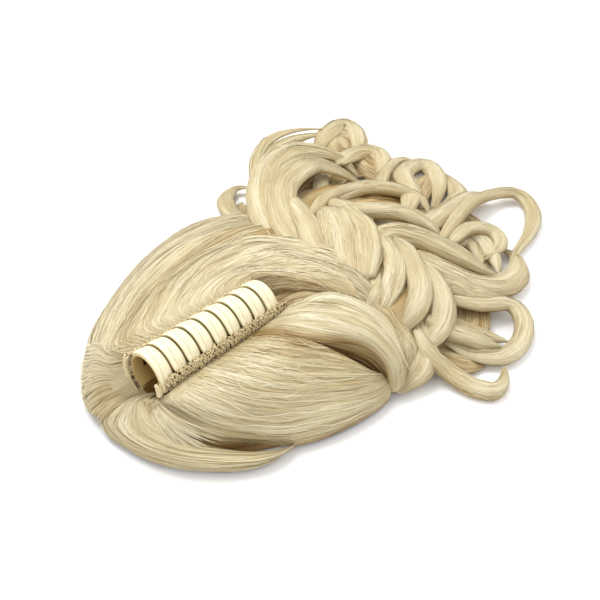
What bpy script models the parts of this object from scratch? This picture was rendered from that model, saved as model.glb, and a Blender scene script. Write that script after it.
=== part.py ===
"""Claw-clip ponytail hairpiece, lying on its hair with the clip on top.

Sizes in the tables are millimetres. X runs along the clip towards the curls,
Y to the left jaw, Z up, and the origin is on the surface below the clip's middle.
"""
import math
from typing import NamedTuple

import bmesh
import bpy
from mathutils import Matrix, Vector

MM = 0.001

CLIP_LENGTH = 100.0
TEETH = 9
PITCH = CLIP_LENGTH / TEETH
CLIP_CENTRE_Z = 38.0
CLIP_HALF_WIDTH = 15.0
CLIP_HALF_HEIGHT = 17.0
WALL = 1.8
PLATE_LOW = 155.0
PLATE_HIGH = 105.0
TOOTH_TIP = -65.0
ARC_STEP = 16.0
PAIR_HALF = 5.2
PAIR_SHIFT = 2.45
TOOTH_GAP = 0.3
SLIT_SWELL = 0.45

HINGE_Z = 20.0
PIN_RADIUS = 1.0
PIN_HALF = 17.2
BORE_RADIUS = 1.38
EAR_RADIUS = 3.2
EAR_SINK = 0.7
EAR_HALF = 1.3
EAR_ARC = (157.5, 382.5)
EAR_STEPS = 10
BORE_ARC = (11.25, 348.75)
ROUND_STEPS = 15
TAB_HALF = 18.0
TAB_PROFILE = [(5.9, 20.0), (8.2, 15.5), (13.0, 11.0)]
LEFT_EARS = (8.0, 11.5)
RIGHT_EARS = (13.7, 16.7)
COIL_RADIUS = 2.2
WIRE_RADIUS = 0.45
COIL_TURNS = 5
COIL_STEPS = 10
COIL_HALF = 6.0
WIRE_SIDES = 5
LEG_REACH = 2.4

FIT = 0.3
WEFT_THICK = 2.0
WEFT_LOW = 98.0
WEFT_HIGH = 74.0
WEFT_STEPS = 3
RIM_LOW = 163.0
RIM_HIGH = 78.0
RIM_STEPS = 6
RIM_INSET = 0.2
RIM_START = -51.0
RIM_END = -54.0

CAVITY_CLEAR = 0.3
CAVITY_FAR = 66.0
SWING_RADIUS = 29.3
CAVITY_STEPS = 23
SWING_STEPS = 16
SPLIT = 0.5
SIDE_FLOOR = 1.0
TAIL_START = 90.0
SIDE_END = TAIL_START - FIT
BACK_WEDGE = [(-76.0, 7.0), (-66.0, 14.0), (-52.5, 17.5)]
BACK_RADIUS = 28.5
BACK_ARC = (136.0, 224.0)
BACK_STEPS = 8
BACK_OVERLAP = 2.0
BACK_HALF = 19.0
BACK_TOP_HALF = 16.0
BACK_THICK = 3.0
MOUND_PROFILE = [(1.0, 0.45), (0.78, 0.92), (0.5, 1.0), (0.22, 0.92), (0.0, 0.45)]
SLOPE_PROFILE = [(1.0, 0.4), (0.8, 0.85), (0.4, 1.0), (0.0, 1.0)]
LOCK_SIDES = 7
SPLINE_STEPS = 2
ROOT_SHARE = 0.62
ROOT_GROWTH = 3.0
TIP_SHARE = 0.45
TIP_GROWTH = 2.4
SHARP_ANGLE = math.radians(40)
BIG = 400.0


class Lock(NamedTuple):
    """One lock of hair: its width and thickness, and the points along its top."""
    name: str
    width: float
    thick: float
    points: list


class Section(NamedTuple):
    """A cross-section of a backing at x: its two edges in y and its height."""
    x: float
    low: float
    high: float
    height: float


LEFT_LOCKS = [
    Lock("outer_roll", 34, 22, [(-55, 46, 24), (-30, 66, 27), (0, 82, 28), (35, 95, 28), (65, 100, 28),
                                (100, 98, 28), (132, 84, 28)]),
    Lock("rim_roll", 24, 14, [(-60, 48, 16), (-32, 80, 15), (2, 99, 15), (38, 114, 15), (75, 120, 17),
                              (105, 118, 19), (130, 104, 20)]),
    Lock("valley_roll", 26, 18, [(-60, 34, 28), (-25, 56, 30), (5, 70, 28), (40, 78, 28), (65, 78, 30),
                                 (100, 66, 33), (130, 48, 36)]),
    Lock("inner_roll", 30, 24, [(-52, 25, 34), (-25, 43, 43), (0, 53, 44), (25, 57, 44), (55, 56, 44),
                                (75, 48, 45), (100, 32, 46), (125, 10, 46)]),
    Lock("weft_roll", 24, 22, [(-42, 24, 40), (-15, 34, 46), (10, 38, 47), (30, 38, 47), (50, 34, 48),
                               (65, 26, 49), (85, 12, 49), (110, -14, 48)]),
]
RIGHT_LOCKS = [
    Lock("end_lock", 26, 18, [(34, -16, 44), (52, -14, 48), (68, -18, 49), (84, -32, 49), (100, -52, 44)]),
    Lock("crease_lock", 20, 18, [(-50, -20, 36), (-55, -34, 31), (-49, -52, 25), (-30, -68, 21),
                                 (-10, -79, 19), (12, -88, 18), (36, -94, 20)]),
    Lock("broad_lock", 28, 22, [(-40, -22, 42), (-45, -40, 38), (-34, -57, 32), (-15, -69, 28),
                                (8, -80, 26), (34, -90, 26)]),
    Lock("middle_lock", 28, 22, [(-25, -22, 44), (-32, -42, 43), (-18, -59, 39), (0, -70, 35),
                                 (20, -80, 33), (44, -88, 32)]),
    Lock("shoulder_lock", 28, 22, [(-5, -22, 45), (-12, -42, 46), (-6, -57, 44), (10, -68, 41),
                                   (30, -78, 37), (50, -84, 34)]),
    Lock("hollow_lock", 26, 20, [(15, -22, 46), (8, -40, 47), (14, -54, 46), (26, -66, 43), (44, -76, 37)]),
    Lock("brow_lock", 24, 18, [(32, -22, 46), (28, -40, 49), (36, -56, 50), (50, -66, 49), (62, -80, 40)]),
    Lock("far_lock", 24, 18, [(52, -20, 46), (48, -38, 50), (58, -52, 50), (66, -68, 46), (68, -84, 36)]),
    Lock("fold_lock", 20, 16, [(60, -54, 50), (70, -74, 44), (73, -90, 32), (66, -98, 20), (48, -100, 14)]),
    Lock("end_lobe", 24, 14, [(120, -78, 24), (106, -90, 20), (90, -99, 16), (70, -101, 14)]),
    Lock("under_roll", 26, 16, [(-54, -12, 26), (-60, -26, 23), (-53, -42, 20), (-38, -58, 18),
                                (-18, -72, 17), (6, -84, 16), (28, -90, 16)]),
    Lock("edge_roll", 20, 12, [(-58, 10, 18), (-67, -4, 15), (-66, -22, 13), (-58, -37, 12),
                               (-46, -53, 12), (-28, -70, 12), (-6, -84, 12), (18, -93, 12), (44, -97, 12)]),
]
TAIL_LOCKS = [
    Lock("smooth_lock", 36, 20, [(58, 38, 46), (76, 24, 49), (89, 4, 50), (98, -16, 49), (106, -38, 44),
                                 (110, -60, 34)]),
    Lock("bridge_lock", 34, 22, [(64, 62, 40), (84, 52, 43), (98, 30, 46), (108, 6, 48), (115, -16, 48),
                                 (116, -40, 42)]),
    Lock("shelf_lock", 36, 22, [(66, 100, 28), (90, 98, 28), (110, 88, 30), (122, 66, 34), (118, 40, 40)]),
    Lock("rim_turn", 24, 16, [(66, 120, 17), (92, 120, 18), (112, 112, 20), (124, 96, 24), (128, 76, 28)]),
    Lock("outer_loop", 8, 8, [(118, 74, 26), (152, 118, 22), (184, 150, 22), (212, 168, 22), (240, 174, 20),
                              (272, 172, 16), (298, 168, 12)]),
    Lock("crown_loop", 26, 14, [(110, 40, 38), (125, 75, 38), (150, 105, 40), (180, 125, 40),
                                (210, 133, 38), (235, 124, 33), (250, 108, 25), (250, 88, 16)]),
    Lock("inner_loop", 20, 12, [(110, 22, 42), (130, 60, 42), (155, 90, 42), (185, 105, 40),
                                (213, 108, 35), (230, 92, 27), (238, 74, 18)]),
    Lock("brow_wave", 18, 12, [(105, -10, 48), (115, 15, 48), (133, 40, 46), (145, 62, 42), (160, 90, 35),
                               (178, 112, 26)]),
    Lock("centre_wave", 32, 16, [(105, -30, 46), (120, -10, 48), (143, 15, 48), (158, 38, 45),
                                 (168, 60, 36)]),
    Lock("edge_wave", 20, 14, [(115, -35, 46), (135, -20, 48), (155, 0, 48), (166, 25, 45), (176, 48, 40),
                               (186, 74, 30)]),
    Lock("slit_band", 14, 12, [(160, 58, 34), (200, 62, 30), (226, 56, 28), (242, 38, 26), (248, 18, 24),
                               (238, 2, 22)]),
    Lock("upper_band", 16, 12, [(158, 36, 46), (180, 20, 44), (200, 4, 40), (210, -12, 34),
                                (214, -32, 26)]),
    Lock("long_band", 20, 14, [(140, -14, 46), (168, -10, 44), (184, -22, 40), (195, -42, 33),
                               (206, -65, 23), (216, -85, 14)]),
    Lock("lower_band", 22, 14, [(142, -30, 44), (160, -42, 41), (170, -60, 35), (185, -80, 25),
                                (207, -90, 17), (232, -88, 13), (252, -72, 11), (250, -56, 11)]),
    Lock("base_band", 16, 12, [(148, -55, 38), (165, -72, 29), (180, -90, 21), (202, -100, 14)]),
    Lock("ring_right", 14, 9, [(192, -38, 30), (230, -26, 28), (270, -15, 23), (306, -16, 16),
                               (326, -28, 12), (314, -50, 10), (285, -65, 10), (252, -72, 10),
                               (226, -82, 11)]),
    Lock("ring_inner", 14, 10, [(205, -40, 28), (238, -36, 24), (254, -48, 19), (246, -62, 16),
                                (224, -62, 15)]),
    Lock("ring_low", 14, 9, [(150, -72, 28), (172, -94, 20), (193, -104, 14), (190, -119, 11),
                             (170, -130, 10), (146, -130, 10), (130, -113, 12), (126, -94, 18)]),
    Lock("low_tress", 14, 11, [(124, -80, 30), (133, -98, 22), (145, -111, 15), (156, -125, 10)]),
    Lock("foot_hook", 12, 9, [(112, -82, 28), (106, -99, 20), (108, -115, 13), (110, -130, 10),
                              (117, -143, 9), (130, -143, 9), (143, -135, 10)]),
    Lock("drape_wave", 20, 14, [(146, -28, 46), (133, -50, 43), (117, -62, 40), (104, -62, 36)]),
    Lock("fall_wave", 22, 14, [(152, -46, 42), (135, -65, 39), (120, -76, 34), (104, -80, 28)]),
    Lock("end_wave", 20, 14, [(148, -62, 36), (138, -83, 30), (122, -90, 24), (106, -92, 18)]),
    Lock("end_lobe", 24, 14, [(134, -66, 28), (120, -78, 24), (106, -90, 20), (90, -99, 16),
                              (70, -101, 14)]),
    Lock("side_curl", 13, 10, [(108, 66, 30), (120, 98, 22), (134, 128, 14), (146, 148, 11),
                               (165, 155, 11), (173, 140, 14)]),
    Lock("top_curl", 13, 10, [(222, 128, 26), (272, 156, 17), (304, 165, 11), (310, 150, 10),
                              (290, 125, 11), (258, 100, 14)]),
    Lock("back_curl", 13, 10, [(240, 104, 24), (282, 116, 14), (296, 104, 11), (278, 84, 11),
                               (246, 64, 14)]),
    Lock("hill_curl", 14, 10, [(214, 8, 28), (252, 32, 21), (280, 62, 14), (306, 68, 10), (312, 54, 10),
                               (288, 28, 12), (246, 4, 18)]),
    Lock("gap_curl", 12, 10, [(228, 48, 24), (268, 74, 14), (296, 84, 10), (308, 78, 10), (306, 62, 10)]),
    Lock("knee_curl", 15, 11, [(208, -12, 28), (250, -6, 20), (288, 8, 13), (308, 32, 10),
                               (314, 48, 10)]),
    Lock("swell_lock", 20, 12, [(204, -14, 30), (252, -8, 24), (290, -4, 17), (308, -14, 14)]),
]
LEFT_CORE = [
    Section(-76, SPLIT, 22, 10), Section(-66, SPLIT, 42, 19), Section(-50, SPLIT, 60, 24),
    Section(-25, SPLIT, 84, 27), Section(10, SPLIT, 104, 27), Section(45, SPLIT, 116, 28),
    Section(100, SPLIT, 114, 34),
]
RIGHT_CORE = [
    Section(-74, -24, -SPLIT, 10), Section(-64, -38, -SPLIT, 19), Section(-50, -56, -SPLIT, 22),
    Section(-25, -76, -SPLIT, 25), Section(10, -90, -SPLIT, 28), Section(50, -95, -SPLIT, 30),
    Section(72, -92, -SPLIT, 34), Section(100, -78, -SPLIT, 40),
]
TAIL_CORE = [
    Section(80, -84, 110, 34), Section(110, -86, 92, 38), Section(140, -80, 84, 38),
    Section(170, -76, 92, 32), Section(200, -66, 96, 24), Section(225, -46, 92, 17),
    Section(246, -16, 66, 10),
]


def clear_scene():
    """Remove every object of the starting scene."""
    for obj in list(bpy.data.objects):
        bpy.data.objects.remove(obj)


def make_material(name, colour, roughness, metallic=0.0):
    """Return a Principled material."""
    material = bpy.data.materials.new(name)
    material.use_nodes = True
    shader = material.node_tree.nodes["Principled BSDF"]
    shader.inputs["Base Color"].default_value = (*colour, 1.0)
    shader.inputs["Roughness"].default_value = roughness
    shader.inputs["Metallic"].default_value = metallic
    return material


def add_object(name, bm, material=None, smooth=True):
    """Turn a bmesh in millimetres into an object in metres."""
    bmesh.ops.recalc_face_normals(bm, faces=bm.faces)
    bm.transform(Matrix.Scale(MM, 4))
    mesh = bpy.data.meshes.new(name)
    bm.to_mesh(mesh)
    bm.free()
    if smooth:
        mesh.shade_smooth()
        mesh.set_sharp_from_angle(angle=SHARP_ANGLE)
    obj = bpy.data.objects.new(name, mesh)
    bpy.context.scene.collection.objects.link(obj)
    if material:
        mesh.materials.append(material)
    return obj


def hide_helper(obj):
    """Mark a cutter or a joined helper so that it isn't part of the model."""
    obj.hide_render = True
    obj.display_type = "WIRE"
    return obj


def bake(obj):
    """Replace an object's mesh by what its modifiers make of it."""
    graph = bpy.context.evaluated_depsgraph_get()
    mesh = bpy.data.meshes.new_from_object(obj.evaluated_get(graph), depsgraph=graph)
    obj.modifiers.clear()
    obj.data = mesh
    return obj


def boolean(obj, helper, operation, solver="EXACT"):
    """Join or cut an object with a helper, and remove the helper."""
    hide_helper(helper)
    modifier = obj.modifiers.new(operation.lower(), "BOOLEAN")
    modifier.operation = operation
    modifier.solver = solver
    modifier.object = helper
    bake(obj)
    bpy.data.objects.remove(helper)
    return obj


def keep_outer_skin(obj):
    """Keep the largest connected skin, so that gaps closed in between the locks are solid."""
    bm = bmesh.new()
    bm.from_mesh(obj.data)
    left = set(bm.faces)
    skins = []
    while left:
        edge_of_skin = [left.pop()]
        skin = list(edge_of_skin)
        while edge_of_skin:
            face = edge_of_skin.pop()
            for edge in face.edges:
                for other in edge.link_faces:
                    if other in left:
                        left.remove(other)
                        edge_of_skin.append(other)
                        skin.append(other)
        skins.append(skin)
    skins.sort(key=len)
    for skin in skins[:-1]:
        bmesh.ops.delete(bm, geom=skin, context="FACES")
    bm.to_mesh(obj.data)
    bm.free()
    return obj


def add_box(bm, low, high):
    """Add a box between two corners."""
    size = [high[axis] - low[axis] for axis in range(3)]
    middle = [(high[axis] + low[axis]) / 2 for axis in range(3)]
    matrix = Matrix.Translation(middle) @ Matrix.Diagonal((*size, 1.0))
    return bmesh.ops.create_cube(bm, size=1.0, matrix=matrix)


def add_prism(bm, outline, x_low, x_high):
    """Add a closed prism along X over an outline of (y, z) points."""
    low = [bm.verts.new((x_low, y, z)) for y, z in outline]
    high = [bm.verts.new((x_high, y, z)) for y, z in outline]
    count = len(outline)
    for index in range(count):
        after = (index + 1) % count
        bm.faces.new((low[index], low[after], high[after], high[index]))
    bm.faces.new(low)
    bm.faces.new(list(reversed(high)))


def arc(centre, radii, start, end, steps):
    """Return points on an ellipse in (y, z), with angles from the top towards +Y."""
    points = []
    for index in range(steps + 1):
        angle = math.radians(start + (end - start) * index / steps)
        points.append((centre[0] + radii[0] * math.sin(angle), centre[1] + radii[1] * math.cos(angle)))
    return points


def spline(points, per_span):
    """Return a smooth curve through the points, with equal steps in each span."""
    knots = [Vector(point) for point in points]
    first = knots[0] * 2 - knots[1]
    last = knots[-1] * 2 - knots[-2]
    knots = [first, *knots, last]
    curve = []
    for span in range(len(knots) - 3):
        a, b, c, d = knots[span:span + 4]
        for step in range(per_span):
            t = step / per_span
            curve.append((b * 2 + (c - a) * t + (a * 2 - b * 5 + c * 4 - d) * t ** 2
                          + (b * 3 - a - c * 3 + d) * t ** 3) / 2)
    curve.append(knots[-2])
    return curve


def add_tube(bm, rings):
    """Join rings of points into one closed tube with flat ends."""
    loops = [[bm.verts.new(point) for point in ring] for ring in rings]
    count = len(loops[0])
    for near, far in zip(loops, loops[1:]):
        for index in range(count):
            after = (index + 1) % count
            bm.faces.new((near[index], near[after], far[after], far[index]))
    bm.faces.new(list(reversed(loops[0])))
    bm.faces.new(loops[-1])


def clip_point(lean, radius_add=0.0):
    """Return (y, z) on the clip's outer oval, lean degrees from the top towards +Y."""
    angle = math.radians(lean)
    return ((CLIP_HALF_WIDTH + radius_add) * math.sin(angle),
            CLIP_CENTRE_Z + (CLIP_HALF_HEIGHT + radius_add) * math.cos(angle))


def tooth_edges(middle, lean):
    """Return the two edges in x of the left jaw's tooth in one pair."""
    share = max(-1.0, min(1.0, lean / -TOOTH_TIP))
    swell = SLIT_SWELL * math.cos(share * math.pi / 2)
    return (middle - PAIR_HALF + swell, middle + PAIR_SHIFT * share - TOOTH_GAP / 2)


def jaw_sheet(bm):
    """Add the left jaw's outer surface: a plate, its thumb tab and nine teeth."""
    lean = PLATE_LOW
    leans = []
    while lean >= TOOTH_TIP - 0.1:
        leans.append(lean)
        lean -= ARC_STEP
    leans[-1] = TOOTH_TIP
    plate_rows = [angle for angle in leans if angle >= PLATE_HIGH - 0.1]
    middles = [(index - (TEETH - 1) / 2) * PITCH for index in range(TEETH)]
    half = CLIP_LENGTH / 2
    columns = [-half]
    for middle in middles:
        columns.extend(tooth_edges(middle, plate_rows[-1]))
    columns.append(half)
    tab_columns = [x for x in columns if abs(x) < TAB_HALF]
    grid = {}

    def corner(x, y, z):
        key = (round(x, 3), round(y, 3), round(z, 3))
        if key not in grid:
            grid[key] = bm.verts.new((x, y, z))
        return grid[key]

    def band(edges_near, near, edges_far, far):
        bm.faces.new((corner(edges_near[0], *near), corner(edges_near[1], *near),
                      corner(edges_far[1], *far), corner(edges_far[0], *far)))

    for lower, upper in zip(plate_rows, plate_rows[1:]):
        for left, right in zip(columns, columns[1:]):
            band((left, right), clip_point(lower), (left, right), clip_point(upper))
    tab_rows = [clip_point(PLATE_LOW), *TAB_PROFILE]
    for upper, lower in zip(tab_rows, tab_rows[1:]):
        for left, right in zip(tab_columns, tab_columns[1:]):
            band((left, right), lower, (left, right), upper)
    tooth_rows = leans[len(plate_rows) - 1:]
    for middle in middles:
        for lower, upper in zip(tooth_rows, tooth_rows[1:]):
            band(tooth_edges(middle, lower), clip_point(lower), tooth_edges(middle, upper),
                 clip_point(upper))


def build_jaw(name, ears, turned, material):
    """Build a jaw: a curved comb with two hinge ears, turned about Z for the right side."""
    bm = bmesh.new()
    jaw_sheet(bm)
    jaw = add_object(name, bm, material, smooth=False)
    solid = jaw.modifiers.new("wall", "SOLIDIFY")
    solid.thickness = WALL * MM
    solid.offset = -1.0
    solid.use_even_offset = False
    bake(jaw)
    bm = bmesh.new()
    for side in (-1, 1):
        low, high = sorted((side * ears[0], side * ears[1]))
        outline = arc((0.0, HINGE_Z), (EAR_RADIUS, EAR_RADIUS), *EAR_ARC, EAR_STEPS)
        root = TAB_PROFILE[0][0] - EAR_SINK
        outline += [(root, HINGE_Z + EAR_HALF), (root, HINGE_Z - EAR_HALF)]
        add_prism(bm, outline, low, high)
    boolean(jaw, add_object("ears", bm), "UNION", solver="MANIFOLD")
    bm = bmesh.new()
    add_prism(bm, arc((0.0, HINGE_Z), (BORE_RADIUS, BORE_RADIUS), *BORE_ARC, ROUND_STEPS), -BIG, BIG)
    boolean(jaw, add_object("bore", bm), "DIFFERENCE", solver="MANIFOLD")
    if turned:
        jaw.data.transform(Matrix.Rotation(math.pi, 4, "Z"))
    jaw.data.shade_smooth()
    jaw.data.set_sharp_from_angle(angle=SHARP_ANGLE)
    return jaw


def build_pin(material):
    """Build the hinge pin."""
    bm = bmesh.new()
    outline = arc((0.0, HINGE_Z), (PIN_RADIUS, PIN_RADIUS), *BORE_ARC, ROUND_STEPS)
    add_prism(bm, outline, -PIN_HALF, PIN_HALF)
    return add_object("hinge_pin", bm, material)


def build_spring(material):
    """Build the torsion spring: a coil round the pin with two short legs."""
    steps = COIL_TURNS * COIL_STEPS
    path = [Vector((-COIL_HALF, COIL_RADIUS, HINGE_Z - LEG_REACH))]
    for index in range(steps + 1):
        angle = math.tau * index / COIL_STEPS
        path.append(Vector((-COIL_HALF + 2 * COIL_HALF * index / steps, COIL_RADIUS * math.cos(angle),
                            HINGE_Z + COIL_RADIUS * math.sin(angle))))
    path.append(Vector((COIL_HALF, COIL_RADIUS, HINGE_Z + LEG_REACH)))
    rings = []
    for index, point in enumerate(path):
        along = (path[min(index + 1, len(path) - 1)] - path[max(index - 1, 0)]).normalized()
        side = along.cross(Vector((1, 0, 0))).normalized()
        up = side.cross(along)
        rings.append([point + (side * math.cos(turn) + up * math.sin(turn)) * WIRE_RADIUS
                      for turn in (math.tau * corner / WIRE_SIDES for corner in range(WIRE_SIDES))])
    bm = bmesh.new()
    add_tube(bm, rings)
    return add_object("torsion_spring", bm, material)


def build_weft(name, side, material):
    """Build the stitched band outside a jaw, with its return round the near rim."""
    bm = bmesh.new()
    leans = [WEFT_HIGH + (WEFT_LOW - WEFT_HIGH) * step / WEFT_STEPS for step in range(WEFT_STEPS + 1)]
    inner = [clip_point(lean, FIT) for lean in leans]
    outer = [clip_point(lean, FIT + WEFT_THICK) for lean in reversed(leans)]
    add_prism(bm, [(side * y, z) for y, z in inner + outer], RIM_END, CLIP_LENGTH / 2)
    weft = add_object(name, bm, material)
    bm = bmesh.new()
    leans = [RIM_HIGH + (RIM_LOW - RIM_HIGH) * step / RIM_STEPS for step in range(RIM_STEPS + 1)]
    outline = [clip_point(lean, FIT) for lean in leans]
    outline += [clip_point(lean, WEFT_THICK) for lean in reversed(leans)]
    add_prism(bm, [(side * y, z) for y, z in outline], RIM_END + RIM_INSET, RIM_START)
    return boolean(weft, add_object("rim", bm), "UNION")


def lock_rings(lock):
    """Return the rings of points round one lock, thin at its tip."""
    path = spline([(x, y, z - lock.thick / 2) for x, y, z in lock.points], SPLINE_STEPS)
    rings = []
    for index, point in enumerate(path):
        along = (path[min(index + 1, len(path) - 1)] - path[max(index - 1, 0)]).normalized()
        side = Vector((0, 0, 1)).cross(along).normalized()
        up = along.cross(side)
        share = index / (len(path) - 1)
        taper = min(1.0, ROOT_SHARE + share * ROOT_GROWTH, TIP_SHARE + (1 - share) * TIP_GROWTH)
        ring = []
        for corner in range(LOCK_SIDES):
            turn = math.tau * (corner + 0.5) / LOCK_SIDES
            ring.append(point + side * math.cos(turn) * lock.width / 2 * taper
                        + up * math.sin(turn) * lock.thick / 2 * taper)
        rings.append(ring)
    return rings


def add_core(bm, sections, floor):
    """Add the backing: a low mound lofted through its sections."""
    rings = []
    for x, low, high, height in sections:
        ring = [(low, floor), (high, floor)]
        ring += [(low + (high - low) * across, height * up) for across, up in MOUND_PROFILE]
        rings.append([Vector((x, y, z)) for y, z in ring])
    add_tube(bm, rings)


def add_side_core(bm, sections, floor):
    """Add a side's backing, which is tall at the clip and low at its outer edge."""
    rings = []
    for x, low, high, height in sections:
        inner, outer = (low, high) if abs(low) < abs(high) else (high, low)
        ring = [(inner, floor), (outer, floor)]
        ring += [(inner + (outer - inner) * across, height * up) for across, up in SLOPE_PROFILE]
        rings.append([Vector((x, y, z)) for y, z in ring])
    add_tube(bm, rings)


def build_hair(name, locks, sections, add_backing, floor, material):
    """Fuse locks of hair to their backing. So many crossing locks need the manifold solver."""
    bm = bmesh.new()
    add_backing(bm, sections, floor)
    hair = add_object(name, bm, material, smooth=False)
    for lock in locks:
        bm = bmesh.new()
        add_tube(bm, lock_rings(lock))
        boolean(hair, add_object(lock.name, bm), "UNION", solver="MANIFOLD")
    return hair


def side_cutter():
    """Return the cutter that keeps a side clear of the clip and of its swing."""
    bm = bmesh.new()
    grow = FIT + WEFT_THICK + CAVITY_CLEAR
    radii = (CLIP_HALF_WIDTH + grow, CLIP_HALF_HEIGHT + grow)
    add_prism(bm, arc((0.0, CLIP_CENTRE_Z), radii, 0.0, 345.0, CAVITY_STEPS), -BIG, CAVITY_FAR)
    cutter = add_object("clip_room", bm)
    bm = bmesh.new()
    swing = arc((0.0, HINGE_Z), (SWING_RADIUS, SWING_RADIUS), 90.0, 270.0, SWING_STEPS)
    add_prism(bm, swing, -BIG - 1, BIG)
    return boolean(cutter, add_object("swing_room", bm), "UNION")


def trim(obj, low, high):
    """Keep only what lies between two corners."""
    bm = bmesh.new()
    add_box(bm, low, high)
    return boolean(obj, add_object("room", bm), "INTERSECT", solver="MANIFOLD")


def build_side_hair(name, side, locks, sections, material):
    """Build the hair of one jaw."""
    hair = build_hair(name, locks, sections, add_side_core, SIDE_FLOOR, material)
    boolean(hair, side_cutter(), "DIFFERENCE", solver="MANIFOLD")
    edges = sorted((side * SPLIT, side * BIG))
    return keep_outer_skin(trim(hair, (-BIG, edges[0], SIDE_FLOOR), (SIDE_END, edges[1], BIG)))


def build_tail(material):
    """Build the loose curls, which stay clear of the halves that turn with the jaws."""
    tail = build_hair("tail", TAIL_LOCKS, TAIL_CORE, add_core, 0.0, material)
    return keep_outer_skin(trim(tail, (TAIL_START, -BIG, 0.0), (BIG, BIG, BIG)))


def build_back_hair(material):
    """Build the flat hair below the clip, and the wedge that closes its near end."""
    bm = bmesh.new()
    outline = [(-BACK_HALF, 0.0), (BACK_HALF, 0.0), (BACK_TOP_HALF, BACK_THICK), (-BACK_TOP_HALF, BACK_THICK)]
    add_prism(bm, outline, BACK_WEDGE[-1][0] - BACK_OVERLAP, SIDE_END)
    back = add_object("back_hair", bm, material, smooth=False)
    bm = bmesh.new()
    rings = []
    for x, top in BACK_WEDGE:
        outline = [(0.0, top), *arc((0.0, HINGE_Z), (BACK_RADIUS, BACK_RADIUS), *BACK_ARC, BACK_STEPS)]
        rings.append([Vector((x, y, z)) for y, z in outline])
    add_tube(bm, rings)
    boolean(back, add_object("wedge", bm), "UNION")
    return trim(back, (-BIG, -BIG, 0.0), (BIG, BIG, BIG))


def main():
    """Build the hairpiece."""
    clear_scene()
    plastic = make_material("ivory plastic", (0.9, 0.86, 0.68), 0.35)
    steel = make_material("spring steel", (0.55, 0.55, 0.56), 0.3, 1.0)
    thread = make_material("weft thread", (0.42, 0.31, 0.13), 0.8)
    fibre = make_material("blonde fibre", (0.76, 0.66, 0.4), 0.5)
    build_jaw("jaw_left", LEFT_EARS, False, plastic)
    build_jaw("jaw_right", RIGHT_EARS, True, plastic)
    build_pin(steel)
    build_spring(steel)
    build_weft("weft_left", 1, thread)
    build_weft("weft_right", -1, thread)
    build_side_hair("side_hair_left", 1, LEFT_LOCKS, LEFT_CORE, fibre)
    build_side_hair("side_hair_right", -1, RIGHT_LOCKS, RIGHT_CORE, fibre)
    build_back_hair(fibre)
    build_tail(fibre)


main()
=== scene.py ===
"""Looks of a blonde claw-clip ponytail hairpiece that lies on its hair with the clip on top.

The tables and sizes are millimetres. X runs along the clip towards the curls, Y to the left jaw, Z up.
"""
import logging
import math
from collections.abc import Sequence
from dataclasses import dataclass, field
from enum import Enum
from typing import NamedTuple

import bpy
import numpy as np
from mathutils import Matrix, Vector


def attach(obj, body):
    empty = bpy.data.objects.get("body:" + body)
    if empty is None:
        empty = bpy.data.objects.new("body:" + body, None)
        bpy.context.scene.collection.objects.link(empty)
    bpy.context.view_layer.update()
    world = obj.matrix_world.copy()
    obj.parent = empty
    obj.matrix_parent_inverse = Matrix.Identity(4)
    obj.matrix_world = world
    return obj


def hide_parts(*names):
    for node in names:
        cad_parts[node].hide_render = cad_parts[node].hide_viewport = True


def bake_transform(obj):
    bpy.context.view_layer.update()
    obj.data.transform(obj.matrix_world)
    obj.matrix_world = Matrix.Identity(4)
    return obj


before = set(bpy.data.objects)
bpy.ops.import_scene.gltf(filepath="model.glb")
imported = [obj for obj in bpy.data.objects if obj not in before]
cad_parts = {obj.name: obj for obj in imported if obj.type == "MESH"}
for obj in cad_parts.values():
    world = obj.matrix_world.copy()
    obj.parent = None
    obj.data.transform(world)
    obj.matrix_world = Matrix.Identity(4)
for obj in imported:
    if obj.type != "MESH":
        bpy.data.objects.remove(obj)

MM = 0.001
PER_METRE = 1000.0
LOG = logging.getLogger("hairpiece")

Point = tuple[float, float, float]
Colour = tuple[float, float, float, float]
Stops = tuple[tuple[float, str], ...]


class Body(Enum):
    """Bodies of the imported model."""
    ROOT = "root"
    LEFT = "left_half"
    RIGHT = "right_half"


class Slot(Enum):
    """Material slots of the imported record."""
    PLASTIC = "clip_plastic"
    THREAD = "weft_thread"
    FIBRE = "blonde_fibre"


class Seed(Enum):
    """Starts of the random numbers, one for each part that has some."""
    WEFT_LEFT = 5
    WEFT_RIGHT = 7
    SIDE_LEFT = 11
    SIDE_RIGHT = 23
    TAIL = 37
    BACK = 41

    def source(self) -> np.random.Generator:
        """Return a new source of random numbers from this start."""
        return np.random.default_rng(self.value)


# Helpers for materials


def linear(colour: str) -> Colour:
    """Turn an sRGB hex colour to linear.

    Args:
        colour: six hex digits after a hash sign.

    Returns:
        Red, green, blue and a full alpha.
    """
    parts = [int(colour[index:index + 2], 16) / 255 for index in (1, 3, 5)]
    return (*[part / 12.92 if part <= 0.04045 else ((part + 0.055) / 1.055) ** 2.4 for part in parts], 1.0)


def set_node(tree: bpy.types.NodeTree, node: bpy.types.Node, inputs: dict | None = None,
             links: dict | None = None) -> bpy.types.Node:
    """Set the sockets of a node that is there.

    Args:
        tree: the material's node tree.
        node: the node.
        inputs: values of its sockets, by name or index.
        links: sockets that it reads from, by name or index.

    Returns:
        The same node.
    """
    for name, value in (inputs or {}).items():
        node.inputs[name].default_value = value
    for name, socket in (links or {}).items():
        tree.links.new(socket, node.inputs[name])
    return node


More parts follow.
